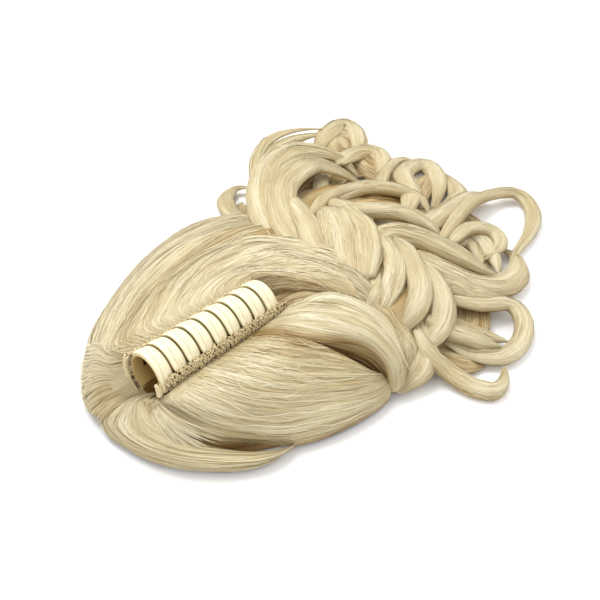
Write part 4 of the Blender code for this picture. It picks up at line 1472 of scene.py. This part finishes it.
RIGHT_HOOD = [
    Guide(-0.5, [(22, -16, 35), (24, -21, 39), (29, -36, 44), (35, -50, 45), (44, -60, 43), (54, -68, 40),
        (63, -77, 36), (67, -86, 30), (68, -92, 23), (67, -95, 14), (66, -96, 8)]),
    Guide(0.02, [(24, -16, 36), (28, -22, 41), (34, -36, 46.5), (41, -50, 48), (49, -61, 48),
        (57, -70, 46), (65, -80, 41), (69, -89, 34), (70, -95, 26), (69, -97, 16), (67, -97, 8)]),
    Guide(0.1, [(33, -16, 37), (37, -22, 42), (43, -34, 48), (50, -47, 50), (57, -60, 50), (62, -72, 48),
        (67, -83, 43), (70, -92, 35), (71, -97, 26), (71, -99, 16), (69, -100, 8)]),
    Guide(0.05, [(42, -16, 37), (46, -22, 43), (52, -31, 48), (59, -42, 51), (66, -55, 51), (70, -68, 49),
        (73, -81, 44), (75, -91, 36), (75, -98, 26), (75, -101, 15), (73, -101, 8)]),
    Guide(0.0, [(49, -16, 37), (54, -20, 44), (60, -27, 48), (66, -37, 50), (72, -51, 50), (76, -63, 49),
        (78, -77, 45), (79, -88, 37), (79, -97, 27), (79, -101, 16), (77, -102, 8)]),
    Guide(-0.35, [(51, -12, 37), (56, -16, 42), (63, -23, 45), (70, -34, 46), (76, -48, 46), (80, -61, 45),
        (82, -75, 41), (82, -87, 34), (81, -96, 25), (80, -100, 15), (79, -101, 8)]),
    Guide(-0.2, [(52, -8, 36), (59, -9, 40), (69, -14, 43), (79, -25, 44), (86, -40, 43), (89, -56, 41),
        (90, -71, 37), (89, -85, 30), (87, -95, 20), (84, -100, 12)]),
]
RIGHT_HOLLOW = [
    Guide(-0.05, [(19, -16, 34), (24, -22, 38), (29, -36, 43), (35, -50, 43), (44, -59, 39), (52, -67, 34),
        (59, -75, 29), (64, -83, 24), (68, -89, 17)]),
    Guide(-0.25, [(21, -16, 34), (25, -22, 38), (30, -36, 43), (37, -50, 42), (46, -60, 36), (55, -68, 29),
        (62, -77, 24), (66, -85, 19), (68, -90, 14)]),
    Guide(-0.2, [(22, -16, 34), (25, -21, 38), (30, -36, 43), (37, -50, 43), (47, -60, 39), (57, -70, 33),
        (65, -80, 27), (68, -88, 21), (69, -92, 14)]),
    Guide(0.1, [(23, -16, 34), (25, -21, 38), (31, -36, 43), (37, -50, 44), (47, -60, 43), (57, -69, 40),
        (65, -79, 35), (69, -88, 27), (70, -94, 17)]),
]

# The hair behind the clip's far end, painted dark as the shade in the crevice there.
CLIP_END = [
    Guide(0.0, [(47, -13, 33), (56, -14, 36), (66, -20, 39), (78, -33, 40), (88, -54, 36)]),
    Guide(-0.05, [(47, -5, 32), (56, -6, 35.5), (66, -13, 38), (77, -27, 40), (87, -48, 38)]),
    Guide(0.0, [(47, 4, 32), (56, 2, 36), (65, -6, 39), (75, -20, 41), (86, -40, 41)]),
    Guide(0.1, [(47, 12, 34), (56, 9, 38), (63, 1, 42), (72, -12, 45), (83, -32, 45)]),
]


# Ways to comb the hair
MOUND_COMBING = Combing(cover=2.2, tint=0.13, lift=0.4, drift=0.06)
THIN_COMBING = Combing(width=0.6, cover=0.8, samples=14)
SHADOW_COMBING = Combing(cover=2.0, ragged=0.32, samples=16, tint=0.15)
LOCK_COMBING = Combing(ragged=0.32, cover=2.7, samples=18)
WISP_COMBING = Combing(cover=2.2, ragged=0.6, lift=0.3, tint=0.09, root=0.0, drift=0.012, samples=30)
STRAY_COMBING = Combing(width=0.3, cover=0.1, sink=0.0, lift=1.2, drift=0.12, ragged=0.5, root=0.5,
                        samples=24)
LOOSE_COMBING = Combing(width=0.3, cover=0.06, sink=0.0, lift=1.4, drift=0.1, ragged=0.6, root=0.5,
                        samples=36)
DEEP_COMBING = Combing(width=0.5, cover=0.2, sink=0.0, lift=0.2, drift=0.05, ragged=0.5, root=0.4, tint=0.1,
                       samples=24)


@dataclass
class HairSheet:
    """A smooth sheet of hair through guides, with its underlay, darker as painted shade, and its strands.

    Attributes:
        guides: the lines that it follows, in order across the sheet.
        outward: 1 or -1, whichever turns the normals out.
        relief: height of the combed grooves.
        grooves: how many grooves lie across it.
        inset: how far the underlay lies below the strands. A sheet with 0 has no underlay.
        lift: how far the whole sheet is raised above its guides.
        creases: how much lower the folds at its root are, and how much darker as painted shade.
        passes: how often its lines are smoothed along the hair.
        rows: points along the hair.
        columns: points across it.
        lightness: the mean tint.
        combing: how its strands lie.
        groove_runs: how often the broad and the fine grooves change along the hair.
        fine_share: the fine grooves' share of the relief.
        fine_times: how many fine grooves lie in a broad one.
        root_rise: the relief's share at the root and the end; no more than 1 counts.
        folds: how many folds lie along and across its root.
        fold_fade: how fast they fade along the hair.
        fold_shade: how much painted shade darkens the root between the folds, and in them.
        under_shade: how much darker the underlay is than the strands.
        lay_mm: size of the underlay for its streaks, across and along.
    """
    guides: list[Guide]
    outward: int
    relief: float = 0.8
    grooves: int = 16
    inset: float = 0.5
    lift: float = 0.0
    creases: float = 0.0
    passes: int = 0
    rows: int = 90
    columns: int = 120
    lightness: float = 0.6
    combing: Combing = field(default_factory=Combing)
    groove_runs: tuple[int, int] = (4, 5)
    fine_share: float = 0.4
    fine_times: int = 3
    root_rise: tuple[float, float] = (0.1, 6.0)
    folds: tuple[int, int] = (2, 44)
    fold_fade: float = 3.0
    fold_shade: tuple[float, float] = (0.1, 1.3)
    under_shade: float = 0.08
    lay_mm: tuple[float, float] = (120.0, 150.0)

    def surface(self, rng: np.random.Generator) -> Surface:
        """Make the sheet's surface.

        Args:
            rng: the seeded source.

        Returns:
            The surface with its grooves, folds and shades.
        """
        rows, columns = self.rows, self.columns
        lines = np.stack([through(guide.points, rows) for guide in self.guides], 0)
        for _ in range(self.passes):
            lines[:, 1:-1] = (lines[:, :-2] + 2 * lines[:, 1:-1] + lines[:, 2:]) / 4
        lights = np.array([guide.light for guide in self.guides])
        if self.outward < 0:
            lines, lights = lines[::-1], lights[::-1]
        spread = np.stack([through(lines[:, row], columns) for row in range(rows)], 0)
        place = np.linspace(0, len(lights) - 1, columns)
        shade = np.broadcast_to(np.interp(place, np.arange(len(lights)), lights), (rows, columns))
        broad = smooth_noise(rng, rows, columns, (self.groove_runs[0], self.grooves))
        fine = smooth_noise(rng, rows, columns, (self.groove_runs[1], self.fine_times * self.grooves))
        relief = self.relief * ((1 - self.fine_share) * broad + self.fine_share * fine)
        relief = relief * np.minimum(1, np.linspace(*self.root_rise, rows))[:, None] + self.lift
        folds = np.clip(smooth_noise(rng, rows, columns, self.folds), 0, 1)
        fade = self.creases * np.exp(-self.fold_fade * np.linspace(0, 1, rows))[:, None]
        between, within = self.fold_shade
        return Surface(spread, False, shade - fade * (between + within * folds), relief - fade * folds)

    def add_to(self, base: Meshes, strands: Meshes, rng: np.random.Generator) -> None:
        """Add the underlay and the strands.

        Args:
            base: gathers the underlay.
            strands: gathers the strands.
            rng: the seeded source.
        """
        surface = self.surface(rng)
        if self.inset > 0:
            under = surface.points - surface.normals * self.inset
            v, u = np.meshgrid(np.linspace(0, 1, self.columns), np.linspace(0, 1, self.rows))
            uvs = np.stack([v * self.lay_mm[0], u * self.lay_mm[1]], -1)
            # The underlay's tint is painted shade: darker than the strands, with the surface's shade
            tint = np.clip(self.lightness - self.under_shade + surface.shade * SHADE_WEIGHT, 0, 1)
            keep = np.ix_(halved(self.rows), halved(self.columns))
            base.add_grid(under[keep], uvs[keep], tint=tint[keep])
        lay_strands(strands, surface, self.combing, rng, lightness=self.lightness)


# Places across a mound, from one edge to the other, with its height there as a share
MOUND_PROFILE = ((0.0, 0.03), (0.02, 0.4), (0.12, 0.82), (0.35, 1.0), (0.65, 1.0), (0.88, 0.82), (0.98, 0.4),
                 (1.0, 0.03))
FLAT_PLACES = (0.0, 0.35, 0.65, 1.0)
# Where hair folds over the near rim: x, and how far it is above the clip's oval there
RIM_FOLD = ((-49.5, -1.4), (-53.5, -0.6), (-55.2, 1.6), (-55.6, 4.0))


def mound_guides(sections: list[Section], light: float) -> list[Guide]:
    """Return guides over a low mound of hair, from one edge to the other.

    Args:
        sections: cross-sections, in order of x.
        light: lightness change of the hair.

    Returns:
        A guide for each place across the mound.
    """
    return [Guide(light, [(row.x, row.first + (row.last - row.first) * across, row.height * up)
                          for row in sections]) for across, up in MOUND_PROFILE]


def flat_guides(sections: list[Section], light: float = -0.1, height: float = 1.2) -> list[Guide]:
    """Return guides over the flat underside of a mound, just above the floor.

    Args:
        sections: the mound's cross-sections, in order of x.
        light: lightness change of the hair, below 0 as painted shade near the floor.
        height: how far it lies above the floor.

    Returns:
        A guide for each place across it.
    """
    return [Guide(light, [(row.x, row.first + (row.last - row.first) * across, height) for row in sections])
            for across in FLAT_PLACES]


def folded_guides(clip: ClawClip, rim: list[RimGuide]) -> list[Guide]:
    """Return guides that start inside the mouth, fold over its rim and follow their points.

    Args:
        clip: the clip whose rim they fold over.
        rim: the lines outside the mouth.

    Returns:
        A guide for each line.
    """
    guides = []
    for lean, light, points in rim:
        fold = [(x, *map(float, clip.oval(lean, add))) for x, add in RIM_FOLD]
        guides.append(Guide(light, fold + points))
    return guides


@dataclass
class HairLock:
    """One lock of hair on its own path: an oval bundle, thin at its tip.

    Attributes:
        lock: its path and sizes.
        relief: height of its combed grooves.
        rows: points along it.
        columns: points round it.
        combing: how its strands lie.
        core: size of the core below the strands, as a share of the lock.
        core_tip: the core's share at the root and the tip; no more than core counts.
        core_shade: how much darker the core is than the strands.
        root_taper: share of its girth at the root, and how fast it grows.
        tip_taper: share of its girth at the tip, and how fast it grows back from there.
        flank_shade: how much darker its flanks and its underside are.
        grooves: grooves round it for each millimetre of its width, and the fewest.
        groove_runs: how many times they change along it.
        combed: the part of its girth that has strands: its top and its flanks.
        lay_mm: girth for a millimetre of width, and length, that the core's streaks are laid for.
    """
    lock: Lock
    relief: float = 0.7
    rows: int = 64
    columns: int = 40
    combing: Combing = LOCK_COMBING
    core: float = 0.93
    core_tip: tuple[float, float] = (5.0, 0.2)
    core_shade: float = 0.1
    root_taper: tuple[float, float] = (0.5, 3.0)
    tip_taper: tuple[float, float] = (0.14, 2.8)
    flank_shade: float = 0.17
    grooves: tuple[float, int] = (0.6, 6)
    groove_runs: int = 3
    combed: tuple[float, float] = (0.42, 1.08)
    lay_mm: tuple[float, float] = (2.4, 120.0)

    def surface(self, rng: np.random.Generator) -> Surface:
        """Make the lock's skin.

        Args:
            rng: the seeded source.

        Returns:
            The surface, whose columns run round the lock.
        """
        lift = self.lock.thick / 2
        path = through([(x, y, z - lift) for x, y, z in self.lock.points], self.rows)
        along = unit(np.gradient(path, axis=0))
        side = unit(np.cross(np.array([0, 0, 1.0]), along))
        up = np.cross(along, side)
        share = np.linspace(0, 1, self.rows)
        root = np.minimum(1, self.root_taper[0] + share * self.root_taper[1])
        taper = np.minimum(root, self.tip_taper[0] + (1 - share) * self.tip_taper[1])[:, None, None]
        turn = np.linspace(0, math.tau, self.columns)[None, ::-1, None]
        points = path[:, None] + (side[:, None] * np.cos(turn) * self.lock.width / 2
                                  + up[:, None] * np.sin(turn) * lift) * taper
        shade = np.broadcast_to(-self.flank_shade * (1 - np.sin(turn[..., 0])) ** 2, points.shape[:2])
        cells = (self.groove_runs, max(self.grooves[1], int(self.lock.width * self.grooves[0])))
        noise = smooth_noise(rng, self.rows, self.columns, cells, closed=True)
        return Surface(points, True, shade, self.relief * noise)

    def add_to(self, base: Meshes, strands: Meshes, rng: np.random.Generator) -> None:
        """Add the core and the strands.

        Args:
            base: gathers the core.
            strands: gathers the strands.
            rng: the seeded source.
        """
        surface = self.surface(rng)
        middle = surface.points[:, :-1].mean(1, keepdims=True)
        thin = np.minimum(self.core, np.linspace(*self.core_tip, self.rows))[:, None, None]
        core = with_lids(middle + (surface.points - middle) * thin, middle)
        v, u = np.meshgrid(np.linspace(0, 1, self.columns), np.linspace(0, 1, len(core)))
        uvs = np.stack([v * self.lock.width * self.lay_mm[0], u * self.lay_mm[1]], -1)
        keep = np.ix_(halved(len(core)), halved(self.columns))
        base.add_grid(core[keep], uvs[keep], tint=np.array(self.lock.light - self.core_shade))
        lay_strands(strands, surface, self.combing, rng, self.combed, self.lock.light)
        LOG.debug("%s: %g by %g mm", self.lock.name, self.lock.width, self.lock.thick)


@dataclass
class Hair:
    """All the hair: the two sides, the tail and the flat hair under the clip.

    Attributes:
        material: the fibre.
        clip: the clip that the hair is sewn to.
        bend_from: a point in metres towards the tail; not used.
        bend_to: a point in metres towards the jaw; not used.
        groups: over how many pieces the tail's strands are spread.
        stray_part: the part of a lock's girth that has stray strands.
        stray_light: how much lighter they are.
    """
    material: bpy.types.Material
    clip: ClawClip
    bend_from: Point = (0.118, 0, 0.02)
    bend_to: Point = (0.062, 0, 0.02)
    groups: int = 3
    stray_part: tuple[float, float] = (0.5, 1.0)
    stray_light: float = 0.15

    def build_side(self, name: str, sheets: list[HairSheet | HairLock], node: str,
                   seed: Seed) -> None:
        """Build one side: underlay and strands.

        Args:
            name: the start of the pieces' names.
            sheets: what the side is made of.
            node: the CAD node that it stands for.
            seed: the start of its random numbers.
        """
        rng = seed.source()
        base, strands = Meshes(), Meshes()
        for sheet in sheets:
            sheet.add_to(base, strands, rng)
        for piece in (base.build(f"{name}_underlay", self.material, Slot.FIBRE),
                      strands.build(f"{name}_strands", self.material, Slot.FIBRE)):
            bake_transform(piece)
            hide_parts(node)

    def build_tail(self) -> None:
        """Build the curls over their mound, darker as painted shade, with stray strands on them and dark
        locks of painted shade below.
        """
        rng = Seed.TAIL.source()
        base = Meshes()
        groups = [Meshes() for _ in range(self.groups)]
        mound = HairSheet(mound_guides(TAIL_MOUND, -0.15), -1, relief=2.2, grooves=26, lightness=0.47,
                          combing=MOUND_COMBING)
        mound.add_to(base, groups[0], rng)
        HairSheet(flat_guides(TAIL_MOUND), 1, relief=0.3, combing=THIN_COMBING).add_to(base, groups[1], rng)
        for index, lock in enumerate(TAIL_LOCKS):
            curl = HairLock(lock)
            curl.add_to(base, groups[index % self.groups], rng)
            lay_strands(groups[1], curl.surface(rng), STRAY_COMBING, rng, self.stray_part,
                        lock.light + self.stray_light)
        # Dark locks that stand in for the shade between the curls
        for lock in TAIL_SHADOWS:
            HairLock(lock, combing=SHADOW_COMBING).add_to(base, groups[2], rng)
        pieces = [base.build("tail_cores", self.material, Slot.FIBRE)]
        pieces += [group.build(f"tail_strands_{number}", self.material, Slot.FIBRE)
                   for number, group in enumerate(groups, 1)]
        for piece in pieces:
            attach(piece, Body.ROOT.value)
            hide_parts("tail")

    def build_back(self) -> None:
        """Build the flat hair under the clip, and the sheet at the bottom of the clip's tunnel, both dark as
        painted shade.
        """
        rng = Seed.BACK.source()
        # The flat hair under the clip, darker as painted shade
        flat = [Guide(-0.3, [(-70, y, 8), (-56, y, 12), (-40, y, 5), (0, y, 3.5), (50, y, 3.5), (92, y, 4)])
                for y in (-17, -8, 0, 8, 17)]
        # A sheet at the bottom of the clip's tunnel, painted dark as the shade there
        tunnel_shade = [Guide(-0.75, [(-50, y, z), (0, y, z), (50, y, z)])
                  for y, z in ((-7, 25.4), (-4, 23.8), (0, 23.3), (4, 23.8), (7, 25.4))]
        base, strands = Meshes(), Meshes()
        for sheet in (HairSheet(flat, 1, relief=0.4, grooves=8, inset=1.5),
                      HairSheet(tunnel_shade, 1, relief=0.3, grooves=6, inset=0.3)):
            sheet.add_to(base, strands, rng)
        for piece in (base.build("back_underlay", self.material, Slot.FIBRE),
                      strands.build("back_strands", self.material, Slot.FIBRE)):
            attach(piece, Body.ROOT.value)
            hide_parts("back_hair")

    def under_sheets(self, sections: list[Section]) -> list[HairSheet]:
        """Return the mound under one side and its flat underside, both painted darker as the shade under the
        side.
        """
        return [HairSheet(mound_guides(sections, -0.2), 1, relief=1.0, grooves=10, lightness=0.35,
                          combing=Combing(cover=1.6)),
                HairSheet(flat_guides(sections), -1, relief=0.3, combing=THIN_COMBING)]

    def deep_sheet(self, guides: list[Guide], outward: int) -> HairSheet:
        """Return the few dark strands that lie over a sheet."""
        return HairSheet(guides, outward, relief=0.0, inset=0.0, lift=0.35, lightness=0.36,
                         combing=DEEP_COMBING)

    def loose_sheet(self, guides: list[Guide], outward: int) -> HairSheet:
        """Return the few pale strands that stand loose over a sheet."""
        return HairSheet(guides, outward, relief=0.0, inset=0.0, lift=0.4, lightness=0.75,
                         combing=LOOSE_COMBING)

    def folded_sheet(self, rim: list[RimGuide], lightness: float) -> HairSheet:
        """Return the creased hair that folds out over the mouth's rim."""
        return HairSheet(folded_guides(self.clip, rim), -1, relief=0.35, inset=0, lift=1.1, creases=0.9,
                         passes=60, lightness=lightness, combing=WISP_COMBING)

    def build(self) -> None:
        """Build every part of the hair."""
        left = [*self.under_sheets(LEFT_MOUND),
                HairSheet(CLIP_END, -1, relief=0.5, lightness=0.36, combing=Combing(cover=2.0)),
                HairSheet(LEFT_SIDE, -1, grooves=40, columns=240),
                self.deep_sheet(LEFT_SIDE, -1),
                self.loose_sheet(LEFT_SIDE, -1),
                self.folded_sheet(LEFT_FAN, 0.5)]
        right = [*self.under_sheets(RIGHT_MOUND),
                 HairSheet(RIGHT_ROLL, 1),
                 HairSheet(RIGHT_MAIN, 1, grooves=28, columns=180),
                 self.deep_sheet(RIGHT_MAIN, 1),
                 self.deep_sheet(RIGHT_ROLL, 1),
                 self.loose_sheet(RIGHT_MAIN, 1),
                 # The hollow's sheet is painted dark as the shade under the hood
                 HairSheet(RIGHT_HOLLOW, 1, relief=0.5, lightness=0.32),
                 HairSheet(RIGHT_HOOD, 1, relief=0.5),
                 self.folded_sheet(RIGHT_FAN, 0.6),
                 *[HairLock(lock) for lock in HOOD_LOCKS + RIM_LOCKS]]
        self.build_side("side_left", left, "side_hair_left", Seed.SIDE_LEFT)
        self.build_side("side_right", right, "side_hair_right", Seed.SIDE_RIGHT)
        self.build_tail()
        self.build_back()


# Studio


class Lamp(NamedTuple):
    """A square soft light: its place in metres, its side in metres and its power in watts."""
    name: str
    place: Point
    size: float
    power: float


LAMPS = (
    Lamp("key", (0.10, 0.46, 0.95), 0.7, 9.5),
    Lamp("fill", (-0.75, -0.35, 0.8), 0.9, 2.5),
    Lamp("side", (0.9, -0.5, 0.7), 0.8, 3.5),
)


@dataclass
class Studio:
    """Pale floor, soft light and the camera at the photograph's angle. Its sizes are metres.

    Attributes:
        azimuth: the camera's angle from the clip's side, in degrees.
        elevation: its angle above the floor, in degrees.
        target: the point that it looks at.
        distance: how far from there it stands.
        lens: its focal length in millimetres.
        sensor: its sensor's width in millimetres.
        near: where its view begins.
        air: colour of the light from all round.
        air_power: strength of that light.
        floor_half: half the floor's side.
        paper: the floor's finish.
    """
    azimuth: float = -46.0
    elevation: float = 40.0
    target: Point = (0.100, 0.015, 0.0)
    distance: float = 0.62
    lens: float = 50.0
    sensor: float = 36.0
    near: float = 0.01
    air: str = "#FFFFFF"
    air_power: float = 0.76
    floor_half: float = 4.0
    paper: StudioPaper = StudioPaper()

    def build(self) -> None:
        """Build the camera, the lights, the light from all round and the floor."""
        scene = bpy.context.scene
        scene.view_settings.view_transform = "Standard"
        self.add_camera()
        for lamp in LAMPS:
            self.add_light(lamp)
        world = bpy.data.worlds.new("studio_air")
        world.use_nodes = True
        set_node(world.node_tree, world.node_tree.nodes["Background"],
                 {"Color": linear(self.air), "Strength": self.air_power})
        scene.world = world
        self.add_floor()

    def add_floor(self) -> None:
        """Add the floor, which isn't part of the object."""
        mesh = bpy.data.meshes.new("floor")
        half = self.floor_half
        mesh.from_pydata([(-half, -half, 0), (half, -half, 0), (half, half, 0), (-half, half, 0)], [],
                         [(0, 1, 2, 3)])
        mesh.materials.append(self.paper.build())
        floor = bpy.data.objects.new("studio_floor", mesh)
        bpy.context.scene.collection.objects.link(floor)

    def add_camera(self) -> None:
        """Add the camera at the photograph's angle."""
        a, e = math.radians(self.azimuth), math.radians(self.elevation)
        back = Vector((math.sin(a) * math.cos(e), -math.cos(a) * math.cos(e), math.sin(e)))
        right = Vector((math.cos(a), math.sin(a), 0))
        up = back.cross(right)
        data = bpy.data.cameras.new("photo_camera")
        data.lens = self.lens
        data.sensor_width = self.sensor
        data.clip_start = self.near
        camera = bpy.data.objects.new("photo_camera", data)
        camera.matrix_world = Matrix.Translation(Vector(self.target) + back * self.distance) @ Matrix(
            (right, up, back)).transposed().to_4x4()
        bpy.context.scene.collection.objects.link(camera)
        bpy.context.scene.camera = camera

    def add_light(self, lamp: Lamp) -> None:
        """Add a square soft light that faces the object.

        Args:
            lamp: its place, size and power.
        """
        data = bpy.data.lights.new(lamp.name, "AREA")
        data.size = lamp.size
        data.energy = lamp.power
        light = bpy.data.objects.new(lamp.name, data)
        light.location = lamp.place
        light.rotation_euler = (Vector(self.target) - Vector(lamp.place)).to_track_quat("-Z", "Y").to_euler()
        bpy.context.scene.collection.objects.link(light)


def finish_steel() -> None:
    """Give the pin and the spring, whose CAD solids stay, their steel."""
    steel = SpringSteel().build()
    for node in ("hinge_pin", "torsion_spring"):
        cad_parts[node].data.materials.clear()
        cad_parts[node].data.materials.append(steel)
        LOG.info("%s: kept with steel", node)


def main() -> None:
    """Build the studio and the hairpiece."""
    logging.basicConfig(level=logging.INFO, format="%(name)s %(message)s")
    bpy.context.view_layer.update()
    Studio().build()
    plastic = ClipPlastic().build()
    clip = ClawClip()
    clip.build_jaw("jaw_left", 1, (8.0, 11.5), Body.LEFT, plastic)
    clip.build_jaw("jaw_right", -1, (13.7, 16.7), Body.RIGHT, plastic)
    cloth, thread = WeftCloth().build(), SewingThread().build()
    left = Weft(clip, 1, high=54.0)
    right = Weft(clip, -1, start=-47.5, end=54.0, rim_from=70.0, rim_to=96.0)
    left.build("weft_left", Body.LEFT, Seed.WEFT_LEFT, cloth, thread)
    right.build("weft_right", Body.RIGHT, Seed.WEFT_RIGHT, cloth, thread)
    finish_steel()
    Hair(WigFibre().build(), clip).build()


if __name__ == "__main__":
    main()
